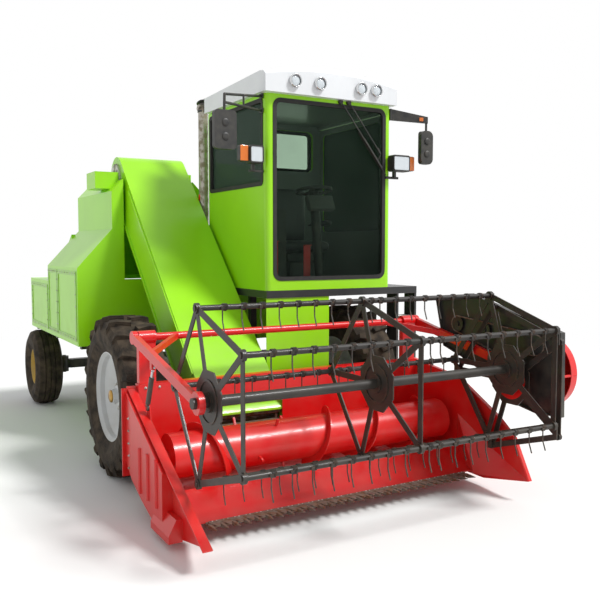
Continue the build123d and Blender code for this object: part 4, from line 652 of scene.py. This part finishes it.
class HARVESTER_OT_seals(bpy.types.Operator):
    """Rubber seals in the cab's window openings"""
    bl_idname = "harvester.seals"
    bl_label = "Window seals"

    def execute(self, context):
        wide = context.scene.harvester_cab.seal / MM
        # Pane's place from (u, v, depth), its two corners and the radius of its corners
        panes = [
            (lambda u, v, d: at(u, CAB_FRONT + d, v),
             (CAB_RIGHT + PILLAR, CAB_FLOOR + 80), (CAB_LEFT - PILLAR, PANE_TOP), 70),
            (lambda u, v, d: at(CAB_RIGHT + d, u, v),
             (CAB_FRONT + PILLAR, 2290), (CAB_REAR - PILLAR, PANE_TOP), 40),
            (lambda u, v, d: at(u, CAB_REAR - d, v),
             (CAB_RIGHT + 400, 2531), (CAB_LEFT - 110, 2921), 60),
        ]
        bm = bmesh.new()
        for place, low, high, radius in panes:
            outer = rounded_loop((low[0] - 3, low[1] - 3), (high[0] + 3, high[1] + 3), radius)
            inner = rounded_loop((low[0] + wide, low[1] + wide), (high[0] - wide, high[1] - wide),
                                 max(radius - wide, 12))
            ribbon(bm, outer, inner, lambda u, v: place(u, v, -5), lambda u, v: place(u, v, 19))
        finished(bm, "window_seals", "rubber", "chassis", "black")
        bm = bmesh.new()
        outer = rounded_loop((CAB_FRONT + 113, 1943), (CAB_REAR - 113, 2892), 42)
        lip = 116 + wide * 0.6
        inner = rounded_loop((CAB_FRONT + lip, 1830 + lip), (CAB_REAR - lip, 3005 - lip), 26)
        ribbon(bm, outer, inner, lambda u, v: at(CAB_LEFT + 4, u, v), lambda u, v: at(CAB_LEFT - 15, u, v))
        finished(bm, "door_seal", "rubber", "cab_door", "black")
        return {"FINISHED"}


class HARVESTER_OT_seat(bpy.types.Operator):
    """Driver's seat: crowned cushion, back and arm pads on a steel base"""
    bl_idname = "harvester.seat"
    bl_label = "Driver's seat"

    def execute(self, context):
        x, y, z = (CAB_RIGHT + CAB_LEFT) / 2, 120, CAB_FLOOR + 40
        height = context.scene.harvester_cab.cushion / MM
        bm = bmesh.new()
        box(bm, at(x - 130, y - 130, z), at(x + 130, y + 130, z + 180), 0.01)
        box(bm, at(x - 190, y - 190, z + 180), at(x + 190, y + 190, z + 258), 0.012)
        box(bm, at(x - 300, y + 140, z + 505), at(x - 235, y + 185, z + 520), 0.004)
        box(bm, at(x + 235, y + 140, z + 505), at(x + 300, y + 185, z + 520), 0.004)
        finished(bm, "seat_base", "black", "chassis", "black", "seat")
        pads = [
            ("seat_cushion", (x - 240, y - 230, z + 258), (x + 240, y + 150, z + 258 + height)),
            ("seat_back", (x - 193, y + 118, z + 345), (x + 193, y + 218, z + 850)),
            ("arm_pad_right", (x - 300, y - 150, z + 500), (x - 246, y + 180, z + 550)),
            ("arm_pad_left", (x + 246, y - 150, z + 500), (x + 300, y + 180, z + 550)),
        ]
        for name, low, high in pads:
            piece(name, cushion_mesh(name, at(*low), at(*high)), "vinyl", "chassis", "seat_vinyl")
        return {"FINISHED"}


def cushion_mesh(name, low, high):
    """Crowned pad: its sides pull in between the corners and a welt runs round its middle."""
    centre, half = (low + high) / 2, (high - low) / 2
    thin = min(range(3), key=lambda k: half[k])
    wide = [k for k in range(3) if k != thin]
    steps = 24
    bm = bmesh.new()
    sheets = []
    for side in (-1, 1):
        grid = []
        for i in range(steps + 1):
            row = []
            for j in range(steps + 1):
                u, v = 2 * i / steps - 1, 2 * j / steps - 1
                reach = max(abs(u), abs(v))
                crown = (1 - u ** 4) * (1 - v ** 4)
                p = Vector((0, 0, 0))
                bulge = 1 - 0.05 * (1 - min(abs(u), abs(v)) ** 2) * reach ** 4
                round_u = u * math.sqrt(1 - 0.16 * v * v * reach) * bulge
                round_v = v * math.sqrt(1 - 0.16 * u * u * reach) * bulge
                groove = 0.1 * math.exp(-((abs(u) - 0.45) * 18) ** 2)
                p[wide[0]] = round_u * half[wide[0]]
                p[wide[1]] = round_v * half[wide[1]]
                p[thin] = side * half[thin] * ((0.45 + 0.55 * crown ** 0.5) * (1 - groove) if reach < 1 else 0.42)
                row.append(bm.verts.new(centre + p))
            grid.append(row)
        for i in range(steps):
            for j in range(steps):
                bm.faces.new((grid[i][j], grid[i + 1][j], grid[i + 1][j + 1], grid[i][j + 1]))
        rim = [grid[i][0] for i in range(steps)] + [grid[steps][j] for j in range(steps)]
        rim += [grid[i][steps] for i in range(steps, 0, -1)] + [grid[0][j] for j in range(steps, 0, -1)]
        sheets.append(rim)
    for k in range(len(sheets[0])):
        n = (k + 1) % len(sheets[0])
        bm.faces.new((sheets[0][k], sheets[0][n], sheets[1][n], sheets[1][k]))
    return mesh_of(bm, name)


class HARVESTER_OT_lamps(bpy.types.Operator):
    """Lenses and reflectors of the work lamps, headlamps and side lights"""
    bl_idname = "harvester.lamps"
    bl_label = "Lamps"

    def execute(self, context):
        bm = bmesh.new()
        for x in WORK_LAMP_XS:
            turned(bm, [(0.0, 0), (0.0, 0.0425), (0.004, 0.041), (0.009, 0.028), (0.0115, 0.012), (0.012, 0)],
                   at(x, CAB_FRONT - 78, CAB_TOP + 99), (0, -1, 0), 32)
        finished(bm, "work_lamp_lenses", "clear_lens", "chassis", "lamp_chrome", smooth=True)
        bm = bmesh.new()
        for x in WORK_LAMP_XS:
            turned(bm, [(0, 0.044), (0.022, 0.044), (0.024, 0.050), (0.0, 0.052)], at(x, CAB_FRONT - 74, CAB_TOP + 99),
                   (0, -1, 0), 32)
        finished(bm, "work_lamp_rims", "chrome", "chassis", "lamp_chrome", smooth=True)
        bm, rim = bmesh.new(), bmesh.new()
        for x0, x1, y in ((CAB_RIGHT - 160, CAB_RIGHT - 60, CAB_FRONT - 50),
                          (CAB_LEFT - 30, CAB_LEFT + 130, CAB_FRONT - 90)):
            outer = rounded_loop((x0 - 6, 2450), (x1 + 6, 2582), 18)
            inner = rounded_loop((x0, 2458), (x1, 2574), 14)
            ribbon(rim, outer, inner, lambda u, v: at(u, y - 8, v), lambda u, v: at(u, y + 2, v))
            box(bm, at(x0, y - 4, 2458), at(x1, y + 2, 2574), 0.0025)
        finished(bm, "headlamp_lenses", "clear_lens", "chassis", "lamp_chrome")
        finished(rim, "headlamp_rims", "plastic", "chassis", "black")
        bm = bmesh.new()
        box(bm, at(CAB_RIGHT - 242, CAB_FRONT - 36, 2462), at(CAB_RIGHT - 174, CAB_FRONT - 29, 2579), 0.003)
        box(bm, at(CAB_LEFT + 146, CAB_FRONT - 66, 2462), at(CAB_LEFT + 208, CAB_FRONT - 59, 2579), 0.003)
        finished(bm, "side_light_lenses", "amber_lens", "chassis", "lamp_chrome")
        return {"FINISHED"}


class HARVESTER_OT_wheel_nuts(bpy.types.Operator):
    """Rings of wheel nuts on the four hubs"""
    bl_idname = "harvester.wheel_nuts"
    bl_label = "Wheel nuts"

    def execute(self, context):
        look = context.scene.harvester_wheels
        for side, s in (("left", 1), ("right", -1)):
            face = FACE_LEFT if s > 0 else FACE_RIGHT
            for kind, x, y, z, radius, count, size in (
                    ("drive", DRIVE_X + 47, 0, DRIVE_R, 0.101, look.nuts, look.nut_size),
                    ("steer", STEER_X + 30, STEER_Y, STEER_R, 0.070, 6, look.nut_size * 0.8)):
                centre = at(s * x, y, z)
                angles = [math.tau * k / count for k in range(count)]
                ring = [(centre + Vector((0, math.cos(a), math.sin(a))) * radius, face) for a in angles]
                repeated(f"{kind}_nuts_{side}", nut(size), ring, "bright_steel", f"{kind}_wheel_{side}", "steel")
            bm = bmesh.new()
            turned(bm, [(0.0, 0.0825), (0.0, 0.1175), (0.004, 0.1165), (0.006, 0.112), (0.006, 0.0825)],
                   at(s * (DRIVE_X + 41), 0, DRIVE_R), (s, 0, 0), 48)
            turned(bm, [(0.0, 0.049), (0.002, 0.0505), (0.010, 0.046), (0.016, 0.030), (0.018, 0)],
                   at(s * (DRIVE_X + 116), 0, DRIVE_R), (s, 0, 0), 32)
            finished(bm, f"hub_ring_{side}", "brass", f"drive_wheel_{side}", "steel", smooth=True)
        return {"FINISHED"}


class HARVESTER_OT_wipers(bpy.types.Operator):
    """Pair of wiper arms with their blade on the windscreen"""
    bl_idname = "harvester.wipers"
    bl_label = "Wipers"

    def execute(self, context):
        y = CAB_FRONT - 14
        bm = bmesh.new()
        for root, tip in (((655, 2996), (1030, 2530)), ((735, 2996), (1062, 2590))):
            elbow = at(root[0] + 22, y - 8, root[1] - 30)
            tube(bm, [at(root[0], y, root[1]), elbow, at(tip[0], y - 2, tip[1])], 0.0055, 8)
            turned(bm, [(-0.02, 0), (-0.02, 0.02), (0.008, 0.02), (0.014, 0.013), (0.014, 0)], at(root[0], y, root[1]),
                   (0, -1, 0), 20)
        tube(bm, [at(1030, y - 2, 2530), at(1062, y - 2, 2590), at(1040, y, 2640)], 0.0045, 8)
        slab(bm, at(985, CAB_FRONT + 3, 2590), (9, 24, 440), (0, math.radians(-39), 0), 0.002)
        slab(bm, at(985, y - 2, 2590), (16, 7, 300), (0, math.radians(-39), 0), 0.002)
        finished(bm, "wipers", "plastic", "chassis", "black")
        return {"FINISHED"}


class HARVESTER_OT_mirror_trim(bpy.types.Operator):
    """Mirror glasses with their rims, the clip and the reflector on the left arm"""
    bl_idname = "harvester.mirror_trim"
    bl_label = "Mirror trim"

    def execute(self, context):
        glass, rim = bmesh.new(), bmesh.new()
        for x0, x1, y, z0, z1 in ((CAB_RIGHT - 568, CAB_RIGHT - 393, -728, 2504, 2784),
                                  (CAB_LEFT + 222, CAB_LEFT + 352, -580, 2515, 2803)):
            box(glass, at(x0 + 12, y - 2, z0 + 12), at(x1 - 12, y + 3, z1 - 12), 0.0015)
            outer = rounded_loop((x0 + 3, z0 + 3), (x1 - 3, z1 - 3), 26)
            inner = rounded_loop((x0 + 14, z0 + 14), (x1 - 14, z1 - 14), 16)
            ribbon(rim, outer, inner, lambda u, v: at(u, y + 7, v), lambda u, v: at(u, y - 2, v))
            for z in (z0 + 90, z1 - 90):
                turned(rim, [(-0.002, 0), (-0.002, 0.03), (0.006, 0.028), (0.010, 0.018), (0.011, 0)],
                       at((x0 + x1) / 2, y - 42, z), (0, -1, 0), 20)
        finished(glass, "mirror_glasses", "mirror", "chassis", "lamp_chrome")
        finished(rim, "mirror_rims", "plastic", "chassis", "black")
        bm = bmesh.new()
        slab(bm, at(CAB_LEFT + 238, -597, 2899), (34, 10, 30), (0, 0, math.radians(-28)), 0.002)
        finished(bm, "mirror_reflector", "amber_lens", "chassis", "lamp_chrome")
        bm = bmesh.new()
        slab(bm, at(CAB_LEFT + 52, -484, 2936), (20, 12, 74), (0, 0, math.radians(-28)), 0.002)
        finished(bm, "mirror_clip", "chrome", "chassis", "lamp_chrome")
        return {"FINISHED"}


class HARVESTER_OT_cab_trim(bpy.types.Operator):
    """Red lever guards, instrument head and door handle"""
    bl_idname = "harvester.cab_trim"
    bl_label = "Cab trim"

    def execute(self, context):
        floor = CAB_FLOOR + 40
        bm = bmesh.new()
        for x, top in ((125, 1850), (435, 1818)):
            slab(bm, at(x, -318, (floor + top) / 2), (66, 8, top - floor), bevel=0.003)
            slab(bm, at(x, -334, floor + 4), (66, 36, 8), bevel=0.002)
            slab(bm, at(x, -330, top - 4), (66, 28, 8), bevel=0.002)
        finished(bm, "lever_guards", "red", "chassis", "red")
        bm = bmesh.new()
        x = (CAB_RIGHT + CAB_LEFT) / 2
        slab(bm, at(x, -300, 2170), (250, 60, 130), (math.radians(-25), 0, 0), 0.012)
        for dx in (-70, 0, 70):
            turned(bm, [(0, 0.026), (0.006, 0.026), (0.008, 0.022), (0.004, 0.020)], at(x + dx, -272, 2182),
                   (0, 0.9, 0.42), 24)
        finished(bm, "instrument_head", "grey_plastic", "chassis", "plastic_black")
        bm = bmesh.new()
        slab(bm, at(CAB_LEFT + 3, -300, 1860), (6, 130, 70), bevel=0.002)
        slab(bm, at(CAB_LEFT + 22, -312, 1868), (12, 96, 20), bevel=0.004)
        slab(bm, at(CAB_LEFT + 12, -350, 1868), (24, 14, 18), bevel=0.003)
        turned(bm, [(0, 0), (0, 0.011), (0.012, 0.011), (0.015, 0.008), (0.015, 0)],
               at(CAB_LEFT + 4, -262, 1850), (1, 0, 0), 16)
        finished(bm, "door_handle", "plastic", "cab_door", "black")
        return {"FINISHED"}


class HARVESTER_OT_exhaust_trim(bpy.types.Operator):
    """Rain cap with its clamp, and the painted band on the exhaust pipe"""
    bl_idname = "harvester.exhaust_trim"
    bl_label = "Exhaust trim"

    def execute(self, context):
        low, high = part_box("exhaust")
        x, y = low[0] + 0.051, low[1] + 0.051
        top = high[2]
        bm = bmesh.new()
        turned(bm, [(0, 0.0455), (0, 0.0475), (0.055, 0.0475), (0.055, 0.0455)],
               (x, y, ORIGIN.z + 2.235), (0, 0, 1), 32)
        finished(bm, "exhaust_band", "red", "chassis", "red", smooth=True)
        bm = bmesh.new()
        turned(bm, [(0, 0), (0, 0.050), (0.006, 0.054), (0.012, 0.048), (0.014, 0)], (x, y + 0.012, top - 0.004),
               (0, 0.45, 0.9), 28)
        turned(bm, [(0, 0.0455), (0, 0.050), (0.02, 0.050), (0.02, 0.0455)], (x, y, top - 0.09), (0, 0, 1), 32)
        slab(bm, Vector((x, y - 0.053, top - 0.03)), (22, 12, 120), bevel=0.002)
        finished(bm, "exhaust_cap", "black", "chassis", "black", smooth=True)
        return {"FINISHED"}


class HARVESTER_OT_springs(bpy.types.Operator):
    """Spring coils at the root of every reel tine"""
    bl_idname = "harvester.springs"
    bl_label = "Tine springs"

    def execute(self, context):
        # Twelve points to a turn, from 10 to 36 mm beside the tine, round the 17 mm bar
        steps = int(context.scene.harvester_reel.coil_turns * 12)
        turns = [(n / steps, math.tau * n / 12) for n in range(steps + 1)]
        coil = [((10 + 26 * t) * MM, 0.0205 * math.cos(a), 0.0205 * math.sin(a)) for t, a in turns]
        tines = [(n - (TINE_COUNT - 1) / 2) * TINE_PITCH for n in range(TINE_COUNT)]
        for k, (y, z) in enumerate(BAR_Y_Z):
            part = bmesh.new()
            tube(part, coil, 0.003, 6)
            # The middle tine stands beside the middle star
            spots = [(at(50 if abs(x) < 40 else x, y, z), FACE_UP) for x in tines]
            repeated(f"tine_springs_{k + 1}", part, spots, "reel", f"reel_bar_{k + 1}", "reel_grey", 0.0)
        return {"FINISHED"}


class HARVESTER_OT_chain(bpy.types.Operator):
    """Roller chain round the sprockets of the reel's drive"""
    bl_idname = "harvester.chain"
    bl_label = "Reel drive chain"

    def execute(self, context):
        pitch = context.scene.harvester_reel.pitch
        rim = [Vector((y + (r + 3) * math.cos(a), z + (r + 3) * math.sin(a)))
               for y, z, r in SPROCKETS
               for a in (math.tau * n / 48 for n in range(48))]
        loop = [rim[k] for k in convex_hull_2d(rim)]
        spots, left = [], 0.0
        for p, q in zip(loop, loop[1:] + loop[:1]):
            length = (q - p).length
            angle = math.atan2(q.y - p.y, q.x - p.x)
            while left < length:
                spot = p.lerp(q, left / length)
                spots.append((at(1280, spot.x, spot.y), (angle, 0, 0)))
                left += pitch / MM
            left -= length
        part = bmesh.new()
        for x in (-5.5, 5.5):
            slab(part, Vector((x * MM, 0, 0)), (1.8, pitch / MM * 1.25, 9), bevel=0.0006)
        turned(part, [(-0.008, 0), (-0.008, 0.003), (0.008, 0.003), (0.008, 0)], (0, pitch * 0.5, 0), (1, 0, 0), 8)
        turned(part, [(-0.004, 0), (-0.004, 0.0055), (0.004, 0.0055), (0.004, 0)], (0, -pitch * 0.5, 0), (1, 0, 0), 10)
        repeated("drive_chain", part, spots, "steel", "reel_arms", "steel", 0.0)
        return {"FINISHED"}


class HARVESTER_OT_fixings(bpy.types.Operator):
    """Bolts and rivets along the header, the knife and the body panels"""
    bl_idname = "harvester.fixings"
    bl_label = "Bolts and rivets"

    def execute(self, context):
        middle = (GUARD_COUNT - 1) / 2
        guards = [(at((k - middle) * GUARD_PITCH, -1594, 104), FACE_UP) for k in range(GUARD_COUNT)]
        guards += [(p, FACE_FRONT) for p in between(at(-1150, -828, 832), at(1150, -828, 832), 24)]
        guards += [(p, FACE_RIGHT) for p in between(at(-1280, -850, 300), at(-1280, -850, 640), 5)]
        repeated("header_bolts", nut(0.016), guards, "bright_steel", "header", "steel")
        heads = []
        for k in range(GUARD_COUNT - 1):
            heads += [(at((k + 0.5 - middle) * GUARD_PITCH + dx, -1622, 125), FACE_UP) for dx in (-14, 14)]
        repeated("knife_rivets", rivet(0.0055), heads, "bright_steel", "knife", "steel")
        rivets = []
        for y0, y1, z1 in ((1090, 1840, 1580), (1860, 2280, 1580), (2320, 3170, 1410)):
            for x, face in ((BODY_RIGHT - 5, FACE_RIGHT), (BODY_LEFT + 5, FACE_LEFT)):
                if x > 0 and y0 < 2300:
                    continue
                for z in (960, z1 - 20):
                    rivets += [(p, face) for p in between(at(x, y0 + 20, z), at(x, y1 - 20, z), 8)]
                for y in (y0 + 20, y1 - 20):
                    rivets += [(p, face) for p in between(at(x, y, 1040), at(x, y, z1 - 100), 5)]
        for x in (-1060, 1060):
            rivets += [(p, FACE_REAR) for p in between(at(x, BODY_REAR, 980), at(x, BODY_REAR, 1340), 6)]
        repeated("panel_rivets", rivet(0.007), rivets, "bright_steel", "chassis", "steel")
        return {"FINISHED"}


class HARVESTER_OT_body_trim(bpy.types.Operator):
    """Louvre blades, rear lamps, door latches and ladder treads"""
    bl_idname = "harvester.body_trim"
    bl_label = "Body trim"

    def execute(self, context):
        blade = bmesh.new()
        slab(blade, Vector((0, 0, 0)), (34, 978, 2.5), (0, math.radians(38), 0), 0.0008)
        spots = [(at(BODY_LEFT - 12, 1560, BODY_FLOOR + 133 + 55 * k), FACE_UP) for k in range(9)]
        repeated("louvre_blades", blade, spots, "green", "chassis", "green", 0.0)
        bm = bmesh.new()
        for x in (-400, 400):
            slab(bm, at(x, RAIL_END + 20, 735), (110, 40, 86), bevel=0.006)
        finished(bm, "rear_lamp_cases", "plastic", "chassis", "black")
        for key, dx in (("red_lens", -26), ("amber_lens", 26)):
            bm = bmesh.new()
            for s in (-1, 1):
                slab(bm, at(s * (400 + dx), RAIL_END + 42, 735), (48, 10, 70), bevel=0.003)
            finished(bm, f"rear_{key}", key, "chassis", "lamp_chrome")
        bm = bmesh.new()
        for x in (-350, 350):
            slab(bm, at(x, BODY_REAR + 4, 1180), (70, 8, 110), bevel=0.002)
            slab(bm, at(x, BODY_REAR + 14, 1180), (18, 16, 90), bevel=0.004)
        finished(bm, "tail_latches", "black", "tail_door", "black")
        tread = bmesh.new()
        slab(tread, Vector((0, 0, 0)), (180, 9, 5), bevel=0.0012)
        middle = sum(LADDER_X) / 2
        spots = [(at(middle, -466 + 19 * n, 467 + 240 * k), FACE_UP) for k in range(4) for n in range(7)]
        repeated("ladder_treads", tread, spots, "bright_steel", "chassis", "steel")
        return {"FINISHED"}


class HARVESTER_OT_stage(bpy.types.Operator):
    """Camera at the photograph's place, soft lights, floor and backdrop"""
    bl_idname = "harvester.stage"
    bl_label = "Stage"

    def execute(self, context):
        look = context.scene.harvester_stage
        scene = context.scene
        camera = bpy.data.objects.new("camera", bpy.data.cameras.new("camera"))
        scene.collection.objects.link(camera)
        camera.data.sensor_width, camera.data.lens = 36, 45
        camera.location = at(-2780, -5770, 1800)
        camera.rotation_euler = (math.radians(90 - 4.05), 0, math.radians(-30))
        scene.camera = camera
        sun = bpy.data.objects.new("key", bpy.data.lights.new("key", "SUN"))
        scene.collection.objects.link(sun)
        sun.data.energy = look.key_power
        sun.data.angle = math.radians(14)
        sun.rotation_euler = (math.radians(42), 0, math.radians(38))
        world = bpy.data.worlds.new("sky")
        scene.world = world
        world.use_nodes = True
        tree = world.node_tree
        sky = tree.nodes["Background"]
        sky.inputs["Color"].default_value = linear("#f4f6f8")
        sky.inputs["Strength"].default_value = 0.62
        white = add(tree, "ShaderNodeBackground", Color=linear("#ffffff"), Strength=1.0)
        rays = add(tree, "ShaderNodeLightPath").outputs
        seen = rays["Is Camera Ray"]
        for kind in ("Is Glossy Ray", "Is Transmission Ray"):
            seen = add(tree, "ShaderNodeMath", [(0, seen), (1, rays[kind])], operation="MAXIMUM").outputs["Value"]
        show(tree, sky.outputs["Background"], white.outputs["Background"], seen)
        bm = bmesh.new()
        half = look.floor / 2
        corners = [bm.verts.new((sx * half, sy * half, 0)) for sx, sy in ((-1, -1), (1, -1), (1, 1), (-1, 1))]
        bm.faces.new(corners)
        floor = bpy.data.objects.new("floor", mesh_of(bm, "floor", False))
        floor.data.materials.append(material("paper"))
        scene.collection.objects.link(floor)
        scene.view_settings.view_transform = "Standard"
        return {"FINISHED"}


OPERATORS = [HARVESTER_OT_materials, HARVESTER_OT_seals, HARVESTER_OT_seat, HARVESTER_OT_lamps,
             HARVESTER_OT_wheel_nuts, HARVESTER_OT_wipers, HARVESTER_OT_mirror_trim, HARVESTER_OT_cab_trim,
             HARVESTER_OT_exhaust_trim, HARVESTER_OT_springs, HARVESTER_OT_chain, HARVESTER_OT_fixings,
             HARVESTER_OT_body_trim, HARVESTER_OT_stage]
GROUPS = {"harvester_cab": CabLook, "harvester_wheels": WheelLook, "harvester_reel": ReelLook,
          "harvester_stage": StageLook}


class HARVESTER_PT_panel(bpy.types.Panel):
    """Lists the harvester's pieces"""
    bl_idname = "HARVESTER_PT_panel"
    bl_label = "Forage harvester"
    bl_space_type = "VIEW_3D"
    bl_region_type = "UI"
    bl_category = "Harvester"

    def draw(self, context):
        for operator in OPERATORS:
            self.layout.operator(operator.bl_idname)
        for key, group in GROUPS.items():
            for name in group.__annotations__:
                self.layout.prop(getattr(context.scene, key), name)


def register():
    for cls in [*GROUPS.values(), *OPERATORS, HARVESTER_PT_panel]:
        bpy.utils.register_class(cls)
    for key, group in GROUPS.items():
        setattr(bpy.types.Scene, key, bpy.props.PointerProperty(type=group))


def unregister():
    for key in GROUPS:
        delattr(bpy.types.Scene, key)
    for cls in reversed([*GROUPS.values(), *OPERATORS, HARVESTER_PT_panel]):
        bpy.utils.unregister_class(cls)


def main():
    register()
    for operator in OPERATORS:
        group, name = operator.bl_idname.split(".")
        getattr(getattr(bpy.ops, group), name)()


if __name__ == "__main__":
    main()
